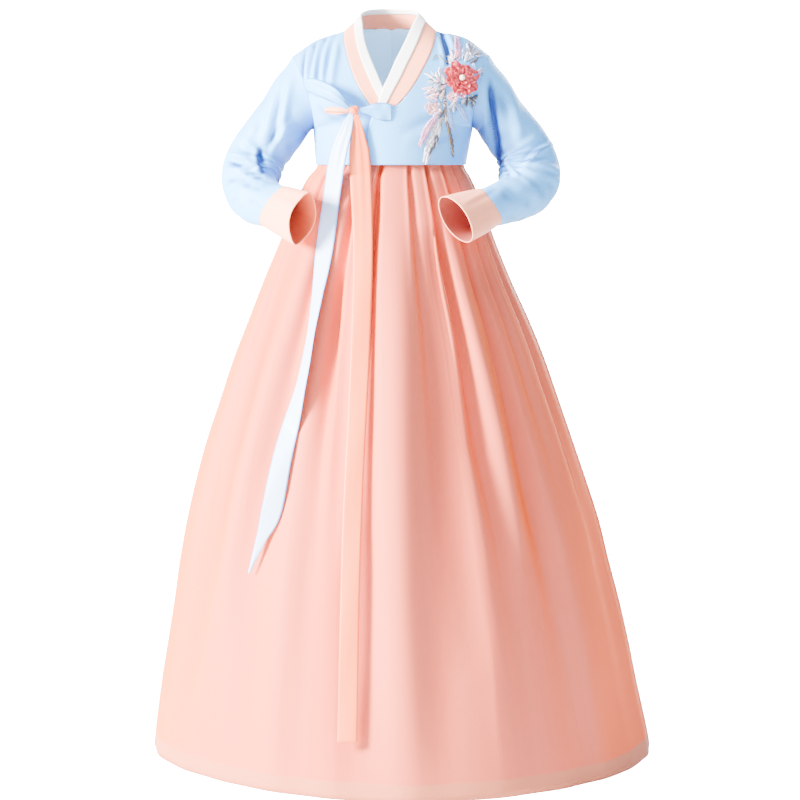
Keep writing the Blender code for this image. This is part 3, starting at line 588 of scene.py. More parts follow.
def skirt_angles(part, first, last, drop):
    """Angles across one panel, close together at each valley and wider on the crests."""
    angles = [first]
    centres = [first - (part[0][0] - first)] + [valley[0] for valley in part] + [2 * last - part[-1][0]]
    for index, valley in enumerate(part):
        steps = NEAR_VALLEY if valley[4] > 0 else [-step for step in NEAR_VALLEY[::-1]]
        room = min(valley[0] - centres[index], centres[index + 2] - valley[0])
        opening = min(valley_opening(drop), room / 4.2)
        angles += list(np.linspace(angles[-1], valley[0] - 1.9 * opening, CREST_STEPS + 1)[1:-1])
        angles += [valley[0] + step * opening for step in steps]
    angles += list(np.linspace(angles[-1], last, CREST_STEPS + 1)[1:])
    return angles


SKIRT_FOLDS = (
    # x, z at the start, x, z at the end, bow, width, height; a width below 0 puts the trough right
    (0.010, -0.330, 0.036, -1.330, 0.008, -0.036, 0.0170),
    (0.098, -0.330, 0.240, -0.920, -0.006, 0.015, 0.0110),
    (0.075, -0.340, 0.146, -1.100, -0.004, 0.034, -0.0085),
    (0.134, -0.400, 0.275, -0.960, -0.008, 0.024, -0.0090),
    (0.150, -0.720, 0.235, -1.330, 0.000, -0.034, 0.0090),
    (0.270, -0.620, 0.380, -1.330, -0.010, -0.034, 0.0090),
    (-0.116, -0.300, -0.335, -1.250, 0.026, 0.023, 0.0200),
    (-0.078, -0.420, -0.102, -0.940, 0.000, 0.022, -0.0070),
    (-0.170, -0.800, -0.215, -1.330, 0.000, 0.034, 0.0080),
    (-0.062, -0.860, -0.072, -1.330, 0.000, 0.030, -0.0060),
)
SKIRT_SHADES = (
    # the same lines, with a soft painted shade from 0 to 1 in place of the height
    (-0.122, -0.260, -0.322, -0.960, 0.018, 0.024, 1.00),
    (-0.083, -0.400, -0.128, -1.330, 0.000, 0.030, 0.62),
    (0.080, -0.340, 0.190, -0.880, -0.004, 0.018, 0.26),
    (0.110, -0.500, 0.170, -1.330, 0.000, 0.040, 0.22),
)
TROUGH_SHADE, FULL_TROUGH_SHADE_DEPTH = 0.3, 0.007
half = len(FRONT_VALLEYS)
for name, part, first in (("front", valleys[:half], -math.pi / 2), ("back", valleys[half:], math.pi / 2)):
    rows, deeps = [], []
    for z in SKIRT_TOP + (HEM - SKIRT_TOP) * np.linspace(0, 1, SKIRT_ROWS) ** 1.25:
        angles = np.array(skirt_angles(part, first, first + math.pi, drop_at(z)))
        relief, deep = pleat_relief(angles, z)
        rows.append(skirt_points(angles, z, relief))
        deeps.append(deep)
    points = np.array(rows)
    normals = sheet_normals(points, flip=True)
    rise = fold_rise(points, normals, SKIRT_FOLDS, name == "front")
    # painted shade in the troughs of the listed folds
    deeps = np.maximum(np.array(deeps), TROUGH_SHADE * within(-rise / FULL_TROUGH_SHADE_DEPTH))
    # painted shade along the lines of SKIRT_SHADES
    deeps = np.maximum(deeps, fold_rise(points, normals, SKIRT_SHADES, name == "front"))
    make_cloth("skirt_" + name, points + normals * rise[..., None], "chima_" + name,
               [organza], flip=True, fold=deeps, wall=0.0006)

# %% [markdown]
# ### Lining and chest band
#
# The lining ends a little above the hem and holds the outer skirt away from the legs. The band
# goes round the chest under the jacket, and the pleats hang from it.

# %% Lining and band
LINING_TOP, LINING_HEM, LINING_ROWS, LINING_COLUMNS = SKIRT_TOP - 0.001, -1.272, 60, 160
BAND_LEVELS, BAND_COLUMNS, BAND_TAPER = (-0.115, -0.138, -0.161, -0.1848), 120, 0.965


def lining_points():
    angles = np.arange(LINING_COLUMNS) * 2 * math.pi / LINING_COLUMNS
    rows = []
    for z in np.linspace(LINING_TOP, LINING_HEM, LINING_ROWS):
        drop = drop_at(z)
        ripple = 0.002 * drop * np.sin(17 * angles + 2 * drop)
        inset = np.interp(drop, (0.0, 0.1, 1.0), (0.0074, 0.025, 0.024))
        rows.append(skirt_points(angles, z, slow_wave(angles, drop) + ripple - inset))
    return np.array(rows)


def band_points():
    """Rows straight up from the skirt's top, a little smaller towards the chest."""
    angles = np.arange(BAND_COLUMNS) * 2 * math.pi / BAND_COLUMNS
    rows = []
    for z in BAND_LEVELS:
        row = skirt_points(angles, SKIRT_TOP, -0.001)
        row[:, :2] *= np.interp(z, (SKIRT_TOP, BAND_LEVELS[0]), (1.0, BAND_TAPER))
        row[:, 2] = z
        rows.append(row)
    return np.array(rows)


make_cloth("skirt_lining", lining_points(), "chima_lining", [lining_cloth],
           closed=True, flip=True)
make_cloth("chest_band", band_points(), "chima_band", [collar_satin],
           closed=True, flip=True, wall=0.0014)

# %% [markdown]
# ## The jacket
#
# The jeogori is cut as two backs, two fronts, two sleeves with cuffs, and a collar band with a
# white strip on its inner edge. The left front laps over the right. The panels share the rows of
# the armholes and the neckline with their neighbours, so the seams meet.

# %% Jacket sizes
EDGE_LEVELS, NECK_LEVELS, SIDE_LEVELS, ARMHOLE_LEVELS, BACK_NECK_LEVELS = 6, 8, 5, 10, 4
PANEL_COLUMNS = 9
HEM_SIDE, JACKET_HEM = 0.1376, -0.2315
SHOULDER_TIP = {"left": (0.1805, 0.0, -0.036), "right": (-0.179, 0.0, -0.037)}
ARMPIT = {"left": (0.15, 0.0, -0.164), "right": (-0.142, 0.0, -0.166)}
ARMHOLE_DEPTH = {"front": -0.056, "back": 0.06}
ARMHOLE_INSET = 0.01
FREE_EDGE = {
    "left": ((-0.0352, -0.1095, JACKET_HEM), (-0.0430, -0.1095, -0.187),
             (-0.0360, -0.1110, -0.152), (-0.0225, -0.1125, -0.1290)),
    "right": ((0.0200, -0.1075, JACKET_HEM), (0.0160, -0.1075, -0.190),
              (0.0060, -0.1070, -0.155), (-0.0085, -0.1045, -0.1300)),
}
COLLAR_SEAM = {
    "left": ((0.0113, -0.1115, -0.1250), (0.0382, -0.1000, -0.0946), (0.0671, -0.0680, -0.0435),
             (0.0792, -0.0360, -0.0100), (0.0806, 0.0000, 0.0133)),
    "right": ((-0.0345, -0.1050, -0.1270), (-0.0420, -0.1020, -0.1170), (-0.0640, -0.0880, -0.0783),
              (-0.0788, -0.0600, -0.0344), (-0.0848, -0.0300, -0.0026), (-0.0818, 0.0000, 0.0133)),
}
COLLAR_INNER = {
    "left": ((-0.0220, -0.1135, -0.1262), (-0.0137, -0.1035, -0.0998), (-0.0020, -0.0900, -0.0746),
             (0.0113, -0.0700, -0.0435), (0.0276, -0.0440, -0.0103), (0.0400, -0.0180, 0.0180),
             (0.0507, 0.0120, 0.0415)),
    "right": ((-0.0075, -0.1005, -0.1140), (-0.0137, -0.0960, -0.0998), (-0.0246, -0.0850, -0.0728),
              (-0.0392, -0.0620, -0.0380), (-0.0490, -0.0400, -0.0080), (-0.0525, -0.0180, 0.0180),
              (-0.0546, 0.0120, 0.0405)),
}
NAPE_SEAM = (0.0, 0.068, 0.0167)
NAPE_TOP = (0.0, 0.055, 0.0526)
BACK_CENTRE = ((0.0, 0.097, JACKET_HEM), (0.0, 0.0985, -0.15), (0.0, 0.092, -0.06), NAPE_SEAM)


# %% Panels between the front edge or centre back and the side
def armhole(side, half):
    pit, tip = np.array(ARMPIT[side]), np.array(SHOULDER_TIP[side])
    inward = -math.copysign(ARMHOLE_INSET, tip[0])
    turns = np.linspace(0.0, math.pi, ARMHOLE_LEVELS)
    points = (pit + tip) / 2 + (pit - tip) / 2 * np.cos(turns)[:, None]
    points[:, 0] += inward * np.sin(turns)
    points[:, 1] += ARMHOLE_DEPTH[half] * np.sin(turns)
    return points


def panel_row(inner, outer):
    """One level of a panel, on an arc round the body from its inner to its outer edge."""
    first = math.asin(inner[0] / outer[0])
    centre_y = outer[1] + (inner[1] - outer[1]) / math.cos(first)
    angles = np.linspace(first, math.pi / 2, PANEL_COLUMNS)
    x = outer[0] * np.sin(angles)
    y = outer[1] + (centre_y - outer[1]) * np.cos(angles)
    share = (x - inner[0]) / (outer[0] - inner[0])
    return np.stack([x, y, inner[2] + (outer[2] - inner[2]) * share], axis=1)


def panel(inner_edge, side, half):
    sign = 1.0 if side == "left" else -1.0
    side_seam = smooth_path([(sign * HEM_SIDE, 0.0, JACKET_HEM), ARMPIT[side]], SIDE_LEVELS)
    outer_edge = np.vstack([side_seam[:-1], armhole(side, half)])
    return np.array([panel_row(a, b) for a, b in zip(inner_edge, outer_edge)])


panels, necklines = {}, {}
for side in ("right", "left"):
    neckline = smooth_path(COLLAR_SEAM[side], NECK_LEVELS)
    edge = np.vstack([smooth_path(FREE_EDGE[side], EDGE_LEVELS), neckline])
    panels["front_" + side] = panel(edge, side, "front")
    shoulder = neckline[-1]
    centre = smooth_path(BACK_CENTRE, EDGE_LEVELS + NECK_LEVELS - BACK_NECK_LEVELS + 1)
    nape = smooth_path((NAPE_SEAM, (shoulder[0] * 0.6, 0.056, 0.0178), shoulder), BACK_NECK_LEVELS)
    panels["back_" + side] = panel(np.vstack([centre[:-1], nape]), side, "back")
    necklines["front_" + side], necklines["back_" + side] = neckline, nape
print("panels:", {name: points.shape for name, points in panels.items()})

# %% Cut and fold the panels
JACKET_FOLDS = (
    # x, z at the start, x, z at the end, bow, width, height
    (-0.088, 0.006, -0.108, -0.110, 0.004, 0.0070, 0.0062),
    (-0.105, 0.000, -0.122, -0.100, 0.006, 0.0055, 0.0072),
    (-0.124, -0.012, -0.138, -0.110, 0.005, 0.0055, 0.0070),
    (-0.144, -0.026, -0.150, -0.100, 0.003, 0.0050, 0.0050),
    (0.090, 0.010, 0.104, -0.056, -0.003, 0.0045, -0.0070),
    (0.100, 0.002, 0.114, -0.034, -0.002, 0.0050, 0.0036),
    (-0.128, -0.110, -0.060, -0.150, 0.004, 0.0080, 0.0022),
    (0.134, -0.150, 0.020, -0.196, 0.006, 0.0110, 0.0018),
    (0.134, -0.190, 0.060, -0.222, 0.003, 0.0080, 0.0012),
    (0.150, -0.116, 0.120, -0.146, 0.002, 0.0060, 0.0030),
)
BACK_FOLDS = (
    (-0.100, -0.010, -0.130, -0.100, 0.004, 0.0070, 0.0035),
    (0.100, -0.010, 0.130, -0.100, -0.004, 0.0070, 0.0035),
    (-0.120, -0.130, -0.030, -0.170, 0.004, 0.0090, 0.0025),
    (0.120, -0.140, 0.030, -0.185, -0.004, 0.0090, 0.0025),
    (-0.050, -0.060, 0.060, -0.075, 0.004, 0.0110, 0.0020),
)
SHOULDER_FILL = {"right": 0.009, "left": 0.013}
FLIPPED = {"front_right": True, "front_left": False, "back_right": False, "back_left": True}


def fill_shoulder(points, side):
    """Lifts the cloth between the collar and the shoulder tip into a round shoulder."""
    x, y, z = np.abs(points[..., 0]), points[..., 1], points[..., 2]
    along = bell(x - 0.138, 0.036) * within((x - 0.084) / 0.02)
    lift = SHOULDER_FILL[side] * along * bell(y, 0.06) * within((z + 0.09) / 0.05)
    return points + lift[..., None] * np.array((0.0, 0.0, 1.0))


def from_armpit(points, side):
    return np.linalg.norm(points - np.array(ARMPIT[side]), axis=2)


fine_panels = {}
for name, coarse in panels.items():
    half, side = name.split("_")
    points = refine(refine(coarse, 8), 8, 1)
    normals = sheet_normals(points, flip=FLIPPED[name])
    rise = fold_rise(points, normals, JACKET_FOLDS if half == "front" else BACK_FOLDS, half == "front")
    calm = fade_ends(points.shape[1], 6)
    points = fill_shoulder(points + normals * (rise * calm)[..., None], side)
    fine_panels[name] = points
    shaded = 0.95 * within(-rise / 0.002) + 0.75 * within(1.1 - from_armpit(points, side) / 0.034)
    make_cloth("jacket_" + name, points, "jeogori_" + name, [blue_satin, inner_blue],
               flip=FLIPPED[name], fold=within(shaded), wall=0.0009, inner_slot=1)

# %% [markdown]
# ### Collar and white strip
#
# The collar band is stiff. It stands on the neckline at the back and lies flat on the fronts,
# left over right. The white strip is folded over its inner edge and hides it on both sides.

# %% Collar and strip
COLLAR_COLUMNS, STRIP_SHARE, STRIP_CLEAR, FOLDED_BACK = 13, 0.6, 0.002, 0.8
seam = np.vstack([
    necklines["front_right"], necklines["back_right"][-2::-1],
    necklines["back_left"][1:], necklines["front_left"][-2::-1],
])
inner_right = smooth_path(COLLAR_INNER["right"], NECK_LEVELS)
inner_left = smooth_path(COLLAR_INNER["left"], NECK_LEVELS)[::-1]
nape_line = [inner_right[-1], (-0.04, 0.036, 0.05), NAPE_TOP, (0.04, 0.036, 0.05), inner_left[0]]
nape = smooth_path(nape_line, len(seam) - 2 * NECK_LEVELS + 2)
inner = np.vstack([inner_right, nape[1:-1], inner_left])
seam, inner = refine(seam, 8), refine(inner, 8)
collar = np.stack([seam + (inner - seam) * share for share in np.linspace(0.0, 1.0, COLLAR_COLUMNS)], axis=1)
make_cloth("collar_band", collar, "git_collar", [collar_satin],
           wall=0.0018)

edge, up = collar[:, -1], sheet_normals(collar)[:, -1]
across = unit(edge - collar[:, -3])
strip = [seam + (inner - seam) * share + up * STRIP_CLEAR for share in np.linspace(STRIP_SHARE, 1.0, 8)]
for turn in np.linspace(0, math.pi, 7)[1:-1]:
    strip.append(edge + up * STRIP_CLEAR * math.cos(turn) + across * STRIP_CLEAR * math.sin(turn))
for share in np.linspace(1.0, FOLDED_BACK, 4):
    strip.append(seam + (inner - seam) * share - up * STRIP_CLEAR)
make_cloth("white_strip", np.stack(strip, axis=1), "dongjeong", [white_cotton],
           wall=0.0008)

# %% [markdown]
# ### Sleeves and cuffs
#
# A sleeve is a tube on a centre line that goes down the upper arm, turns at the elbow and comes
# forward to the cuff. The arm line is two straights joined by a round bend. Cloth crumples on
# the inside of the bend, so the rings there rise and fall, strongest next to the body.

# %% The line of an arm
ELBOW = {"left": (0.292, 0.012, -0.27), "right": (-0.292, 0.012, -0.276)}
WRIST = {"left": (0.115, -0.172, -0.3275), "right": (-0.156, -0.168, -0.3265)}
ELBOW_BEND, FIRST_SECTION, CUFF_LENGTH = 0.078, 0.052, 0.095
SLEEVE_RINGS, SHOULDER_RINGS, CUFF_RINGS = 14, 2, 4
SLEEVE_SECTIONS = {
    # share of the sleeve, half size towards the inside of the arm, half size to front and back
    "left": np.array([(0.0, 0.047, 0.05), (0.25, 0.051, 0.05), (0.5, 0.054, 0.047),
                      (0.75, 0.043, 0.043), (1.0, 0.035, 0.038)]),
    "right": np.array([(0.0, 0.051, 0.05), (0.25, 0.052, 0.05), (0.5, 0.054, 0.047),
                       (0.75, 0.046, 0.044), (1.0, 0.04, 0.038)]),
}
CUFF_MOUTH = (0.048, 0.028)
CUFF_LEAN = {"left": (0.61, -0.26, -0.75), "right": (-0.26, 0.07, -0.963)}
CUFF_PINCH = {"left": 0.1, "right": 0.42}
SEAM_SLANT = {"left": (1.0, 0.5, 8.0), "right": (3.5, 5.5, 4.0)}


class Arm:
    """Centre line of a sleeve: straight, a round bend at the elbow, straight."""

    def __init__(self, start, elbow, wrist):
        self.start = Vector(start)
        self.upper = (Vector(elbow) - self.start).normalized()
        self.fore = (Vector(wrist) - Vector(elbow)).normalized()
        self.axis = self.upper.cross(self.fore).normalized()
        self.turn = self.upper.angle(self.fore)
        reach = ELBOW_BEND * math.tan(self.turn / 2)
        self.straight = (Vector(elbow) - self.start).length - reach
        self.bend = ELBOW_BEND * self.turn
        self.length = self.straight + self.bend + (Vector(wrist) - Vector(elbow)).length - reach
        self.inside = self.axis.cross(self.upper)
        self.centre = self.start + self.upper * self.straight + self.inside * ELBOW_BEND

    def at(self, distance):
        if distance <= self.straight:
            return self.start + self.upper * distance, Quaternion()
        turned = min(distance - self.straight, self.bend) / ELBOW_BEND
        rotation = Quaternion(self.axis, turned)
        point = self.centre - rotation @ (self.inside * ELBOW_BEND)
        return point + self.fore * max(0.0, distance - self.straight - self.bend), rotation


def ring(centre, towards, aside, half_in, half_aside, count, pinch=0.0):
    """A ring across the arm; pinch flattens it to a pointed lens, as a pressed cuff is."""
    turns = np.arange(count) * 2 * math.pi / count
    sideways = np.sin(turns) * half_aside * (1 - pinch * np.cos(turns) ** 2)
    return np.array(centre) + np.outer(np.cos(turns) * half_in, towards) + np.outer(sideways, aside)


def sleeve_and_cuff(side):
    """Rings of a sleeve and its cuff, and where each sleeve ring lies from the elbow."""
    front = panels["front_" + side][SIDE_LEVELS - 1:, -1]
    back = panels["back_" + side][SIDE_LEVELS - 1:, -1]
    armhole_ring = np.vstack([front, back[-2:0:-1]])
    count = len(armhole_ring)
    pit, tip = Vector(ARMPIT[side]), Vector(SHOULDER_TIP[side])
    arm = Arm((pit + tip) / 2, ELBOW[side], WRIST[side])
    seam_at = arm.length - CUFF_LENGTH
    towards = (pit - tip).normalized()
    towards = (towards - arm.upper * towards.dot(arm.upper)).normalized()
    aside = arm.upper.cross(towards)
    if aside.y > 0:
        aside = -aside
    turned = Quaternion(arm.axis, arm.turn) @ towards
    lean = Vector(CUFF_LEAN[side])
    lean = (lean - arm.fore * lean.dot(arm.fore)).normalized()
    if lean.dot(turned) < 0:
        lean = -lean
    roll = turned.angle(lean) * math.copysign(1.0, turned.cross(lean).dot(arm.fore))
    sections = SLEEVE_SECTIONS[side]

    def frame_at(distance):
        centre, rotation = arm.at(distance)
        share = min(1.0, max(0.0, (distance - arm.straight) / (seam_at - arm.straight)))
        rolled = Quaternion(rotation @ arm.upper, roll * share * share * (3 - 2 * share))
        return centre, rolled @ (rotation @ towards), rolled @ (rotation @ aside)

    def section_ring(distance):
        share = (distance - FIRST_SECTION) / (seam_at - FIRST_SECTION)
        half_in = np.interp(share, sections[:, 0], sections[:, 1])
        half_aside = np.interp(share, sections[:, 0], sections[:, 2])
        return ring(*frame_at(distance), half_in, half_aside, count)

    first = section_ring(FIRST_SECTION)
    rings, from_elbow = [armhole_ring], [-arm.straight - arm.bend / 2]
    for step in range(1, SHOULDER_RINGS + 1):
        share = step / (SHOULDER_RINGS + 1)
        rings.append(armhole_ring + (first - armhole_ring) * share)
        from_elbow.append(FIRST_SECTION * share - arm.straight - arm.bend / 2)
    for distance in np.linspace(FIRST_SECTION, seam_at, SLEEVE_RINGS):
        rings.append(section_ring(distance))
        from_elbow.append(distance - arm.straight - arm.bend / 2)
    cuff_rings = [rings[-1]]
    for step in range(1, CUFF_RINGS + 1):
        share = step / CUFF_RINGS
        half_in = sections[-1, 1] + (CUFF_MOUTH[0] - sections[-1, 1]) * share
        half_aside = sections[-1, 2] + (CUFF_MOUTH[1] - sections[-1, 2]) * share
        place = frame_at(seam_at + CUFF_LENGTH * share)
        cuff_rings.append(ring(*place, half_in, half_aside, count, CUFF_PINCH[side] * share))
    return np.array(rings), np.array(cuff_rings), np.array(from_elbow), arm


# %% Sew the sleeves with their creases
SLEEVE_FOLDS = (
    # x, z at the start, x, z at the end, bow, width, height
    (-0.300, -0.214, -0.246, -0.234, -0.006, 0.0045, 0.0060),
    (-0.268, -0.233, -0.224, -0.250, -0.004, 0.0042, 0.0060),
    (-0.236, -0.196, -0.226, -0.250, 0.003, 0.0060, -0.0080),
    (-0.176, -0.150, -0.220, -0.215, 0.003, 0.0060, 0.0050),
    (-0.172, -0.060, -0.198, -0.200, 0.006, 0.0075, 0.0080),
    (-0.190, -0.060, -0.232, -0.205, 0.004, 0.0090, 0.0050),
    (-0.212, -0.100, -0.268, -0.205, 0.004, 0.0100, 0.0035),
    (-0.300, -0.240, -0.240, -0.262, -0.006, 0.0060, 0.0035),
    (-0.300, -0.270, -0.235, -0.290, -0.006, 0.0080, 0.0025),
    (0.1790, -0.070, 0.2000, -0.256, 0.003, 0.0062, -0.0110),
    (0.2150, -0.212, 0.2310, -0.252, 0.008, 0.0045, 0.0080),
    (0.3000, -0.190, 0.2400, -0.238, 0.005, 0.0050, 0.0080),
    (0.2300, -0.240, 0.3150, -0.250, -0.010, 0.0055, 0.0050),
    (0.2330, -0.244, 0.3130, -0.272, -0.010, 0.0070, 0.0050),
    (0.2100, -0.080, 0.2350, -0.200, -0.004, 0.0110, 0.0045),
    (0.2050, -0.262, 0.2800, -0.300, -0.006, 0.0100, 0.0030),
)
CUFF_FOLDS = (
    (0.125, -0.300, 0.190, -0.270, 0.000, 0.0045, 0.0016),
    (-0.205, -0.275, -0.150, -0.285, 0.000, 0.0050, 0.0015),
)
CREASE_PITCH, CREASE_REACH, CREASE_HEIGHT = 0.03, 0.07, 0.0034
DRAPE_HEIGHT, CAP_FILL = 0.0012, 0.0045
ELBOW_FILL = {"left": 0.01, "right": 0.004}


def sleeve_rise(side, points, normals, along, turns, inside):
    """Crumples inside the elbow, a slow drape, the listed folds, and a full cap and elbow."""
    facing = (1 + normals @ np.array(inside)) / 2
    window = bell(along, CREASE_REACH)
    phase = 2 * math.pi * along / CREASE_PITCH + 1.6 * np.sin(turns) + 0.8 * np.sin(3 * turns)
    crumple = CREASE_HEIGHT * window * within(facing * 1.4 - 0.35) * np.sin(phase)
    drape = DRAPE_HEIGHT * np.sin(along / 0.024 + 2 * np.sin(2 * turns)) * (1 - 0.5 * window)
    rise = crumple + drape + fold_rise(points, normals, SLEEVE_FOLDS)
    from_seam = np.arange(len(along))[:, None] / 8.0
    cap = bell(from_seam - 1.6, 1.1) * within(-np.cos(turns)) ** 2
    elbow = bell(along - 0.01, 0.06) * within(1 - 1.6 * facing)
    rise = rise + CAP_FILL * cap + ELBOW_FILL[side] * elbow
    return rise * fade_ends(len(along), 10)[:, None]


def cut_rows(grid, first, last, count):
    """Rows of a grid laid out anew between two row numbers for each column."""
    rows, columns = [], np.arange(grid.shape[1])
    for share in np.linspace(0.0, 1.0, count):
        at = first + (last - first) * share
        low = np.minimum(at.astype(int), len(grid) - 2)
        part = (at - low)[:, None]
        rows.append(grid[low, columns] * (1 - part) + grid[low + 1, columns] * part)
    return np.array(rows)


for side in ("right", "left"):
    rings, cuff_rings, from_elbow, arm = sleeve_and_cuff(side)
    points = refine(refine(rings, 8), 6, 1, closed=True)
    cuff = refine(refine(cuff_rings, 8), 6, 1, closed=True)
    flip = side == "left"
    turns = np.linspace(0, 2 * math.pi, points.shape[1], endpoint=False)[None, :]
    normals = sheet_normals(points, closed=True, flip=flip)
    rise = sleeve_rise(side, points, normals, refine(from_elbow[:, None], 8), turns, arm.inside)
    points = fill_shoulder(points + normals * rise[..., None], side)
    normals = sheet_normals(cuff, closed=True, flip=flip)
    swell = 0.0015 * np.sin(np.linspace(0, 1, len(cuff))[:, None] * math.pi) * np.sin(2 * turns + 1)
    cuff = cuff + normals * (swell + fold_rise(cuff, normals, CUFF_FOLDS))[..., None]
    whole = np.vstack([points, cuff[1:]])
    even, under, front = SEAM_SLANT[side]
    shift = even + under * np.cos(turns[0]) + front * within(np.sin(turns[0]))
    seam_row = len(points) - 1 + shift
    points = cut_rows(whole, np.zeros(points.shape[1]), seam_row, len(points))
    cuff = cut_rows(whole, seam_row, np.full(cuff.shape[1], len(whole) - 1.0), len(cuff))
    shaded = 0.95 * within(1.4 - from_armpit(points, side) / 0.055) + 0.95 * within(-rise / 0.004)
    make_cloth("sleeve_cloth_" + side, points, "sleeve_" + side, [blue_satin, shaded_sleeve_inside],
               closed=True, flip=flip,
               wall=0.0009, fold=within(shaded), inner_slot=1)
    make_cloth("cuff_cloth_" + side, cuff, "cuff_" + side, [collar_satin, cuff_lining[side]],
               closed=True, flip=flip, wall=0.0014, inner_slot=1)

# %% [markdown]
# ## Ties and bow
#
# The goreum close the jacket with one loop. A root is sewn to the left front, the ribbons cross
# at the knot, one blue loop points to the wearer's right shoulder, and the two long ends hang
# down the front, resting on the pleats.

# %% Ribbon sizes
BLUE_TIE = (
    # x, z, half_width, turn in degrees
    (-0.0700, -0.1398, 0.0035, 0), (-0.0800, -0.1700, 0.0120, 20), (-0.0975, -0.2316, 0.0180, 33),
    (-0.1180, -0.3800, 0.0180, 33), (-0.1300, -0.4600, 0.0180, 55), (-0.1397, -0.5200, 0.0180, 70),
    (-0.1500, -0.5800, 0.0180, 62), (-0.1627, -0.6390, 0.0180, 56), (-0.1874, -0.7340, 0.0180, 22),
    (-0.2071, -0.8310, 0.0180, 15), (-0.2250, -0.8800, 0.0095, 10), (-0.2470, -0.9410, 0.0016, 0),
)
PEACH_TIE = (
    (-0.0610, -0.1404, 0.0035, 0), (-0.0580, -0.1850, 0.0140, 0), (-0.0545, -0.2316, 0.0190, 0),
    (-0.0487, -0.3794, 0.0175, 0), (-0.0516, -0.5191, 0.0170, 0), (-0.0563, -0.6379, 0.0165, 0),
    (-0.0640, -0.8036, 0.0165, 0), (-0.0684, -0.9513, 0.0165, 0), (-0.0729, -1.2069, 0.0170, 0),
)
TIE_ROOT = (
    # x, y, z, half_width
    (0.0010, -0.1168, -0.1380, 0.0150), (-0.0110, -0.1180, -0.1374, 0.0158),
    (-0.0220, -0.1188, -0.1360, 0.0152),
    (-0.0330, -0.1188, -0.1348, 0.0112), (-0.0440, -0.1184, -0.1342, 0.0062),
    (-0.0556, -0.1180, -0.1338, 0.0035),
)
BLUE_LOOP = (
    (-0.0738, -0.1205, -0.1298, 0.0035), (-0.0850, -0.1245, -0.1195, 0.0085),
    (-0.0980, -0.1235, -0.1090, 0.0120),
    (-0.1150, -0.1135, -0.1000, 0.0135), (-0.1340, -0.0970, -0.0920, 0.0135),
    (-0.1490, -0.0810, -0.0880, 0.0115),
    (-0.1500, -0.0750, -0.0890, 0.0105), (-0.1400, -0.0790, -0.0935, 0.0115),
    (-0.1200, -0.0930, -0.1020, 0.0115),
    (-0.1000, -0.1060, -0.1110, 0.0090), (-0.0860, -0.1120, -0.1210, 0.0055),
    (-0.0740, -0.1160, -0.1300, 0.0028),
)
PEACH_LOOP = (
    (-0.0748, -0.1200, -0.1350, 0.0022), (-0.0860, -0.1185, -0.1338, 0.0036),
    (-0.0980, -0.1130, -0.1328, 0.0042),
    (-0.1090, -0.1055, -0.1325, 0.0038), (-0.1165, -0.0985, -0.1335, 0.0028),
    (-0.1165, -0.0960, -0.1352, 0.0026),
    (-0.1090, -0.0990, -0.1368, 0.0036), (-0.0930, -0.1085, -0.1376, 0.0038),
    (-0.0748, -0.1160, -0.1364, 0.0022),
)
TIE_LIFT, TIE_HANG, PLEAT_CREST = 0.004, -0.118, 0.004
ACROSS = np.linspace(-1.0, 1.0, 11)


# %% Ribbons that hang, and ribbons that loop
def skirt_front_y(x, z):
    """Depth of the skirt's front crests at a place seen from the front."""
    half_width, half_depth, centre_x, centre_y = skirt_section(max(z, HEM))
    angle = math.asin((x - centre_x) / half_width)
    outward = PLEAT_CREST + slow_wave(angle, drop_at(z))
    across = (x - centre_x) / (half_width + outward)
    return centre_y - (half_depth + outward) * math.sqrt(1 - across * across)


def level_side(direction, share):
    """The way across a ribbon, seen from the front, times a share."""
    return np.array([-direction[2], 0.0, direction[0]]) * share


def hanging_ribbon(rows, count):
    path = smooth_path([(x, 0.0, z, half, turn) for x, z, half, turn in rows], count)
    points = []
    for (x, _, z, half, turn), direction in zip(path, unit(np.gradient(path[:, :3], axis=0))):
        reach = level_side(direction, half * math.cos(math.radians(turn)))
        depth = half * math.sin(math.radians(turn))
        places = [(x + reach[0] * share, z + reach[2] * share) for share in ACROSS]
        resting = [skirt_front_y(*place) - TIE_LIFT + depth * share for place, share in zip(places, ACROSS)]
        middle = min([TIE_HANG] + resting)
        points.append([(place[0], middle - depth * share, place[1]) for place, share in zip(places, ACROSS)])
    return np.array(points)


def looped_ribbon(rows, count):
    path = smooth_path(rows, count)
    points = []
    for (x, y, z, half), direction in zip(path, unit(np.gradient(path[:, :3], axis=0))):
        side = level_side(direction, 0.5)
        side[2] -= math.copysign(1.0, -side[2]) if side[2] else -1.0
        side = unit(side)
        if side[2] < 0:
            side = -side
        points.append([np.array((x, y, z)) + side * half * share for share in ACROSS])
    return np.array(points)


def curl(points, size, pitch):
    """Lets a ribbon bow across its width and ripple along its length."""
    rows = np.arange(len(points))[:, None] / len(points)
    bow = size * (0.5 - ACROSS ** 2)
    ripple = size * 0.6 * np.sin(rows * pitch + 1.5 * ACROSS)
    gathers = 0.8 * size * np.cos(ACROSS * 8) * bell(rows, 0.16)
    rise = (bow + ripple + gathers) * np.minimum(1.0, rows * 12)
    return points + sheet_normals(points, flip=True) * rise[..., None]


# %% Tie the ribbons
def ribbon_fold(points, edge, crease, reach):
    """Painted shade along the rolled edge on both sides of a ribbon, and in creases that leave the knot."""
    rolled = edge * within((np.abs(ACROSS) - 0.8) / 0.2)
    lines = bell(ACROSS - 0.2, 0.16) + 0.8 * bell(ACROSS + 0.5, 0.14)
    rows = np.linspace(0.0, 1.0, len(points))[:, None]
    return within(rolled + crease * lines * bell(rows, reach))


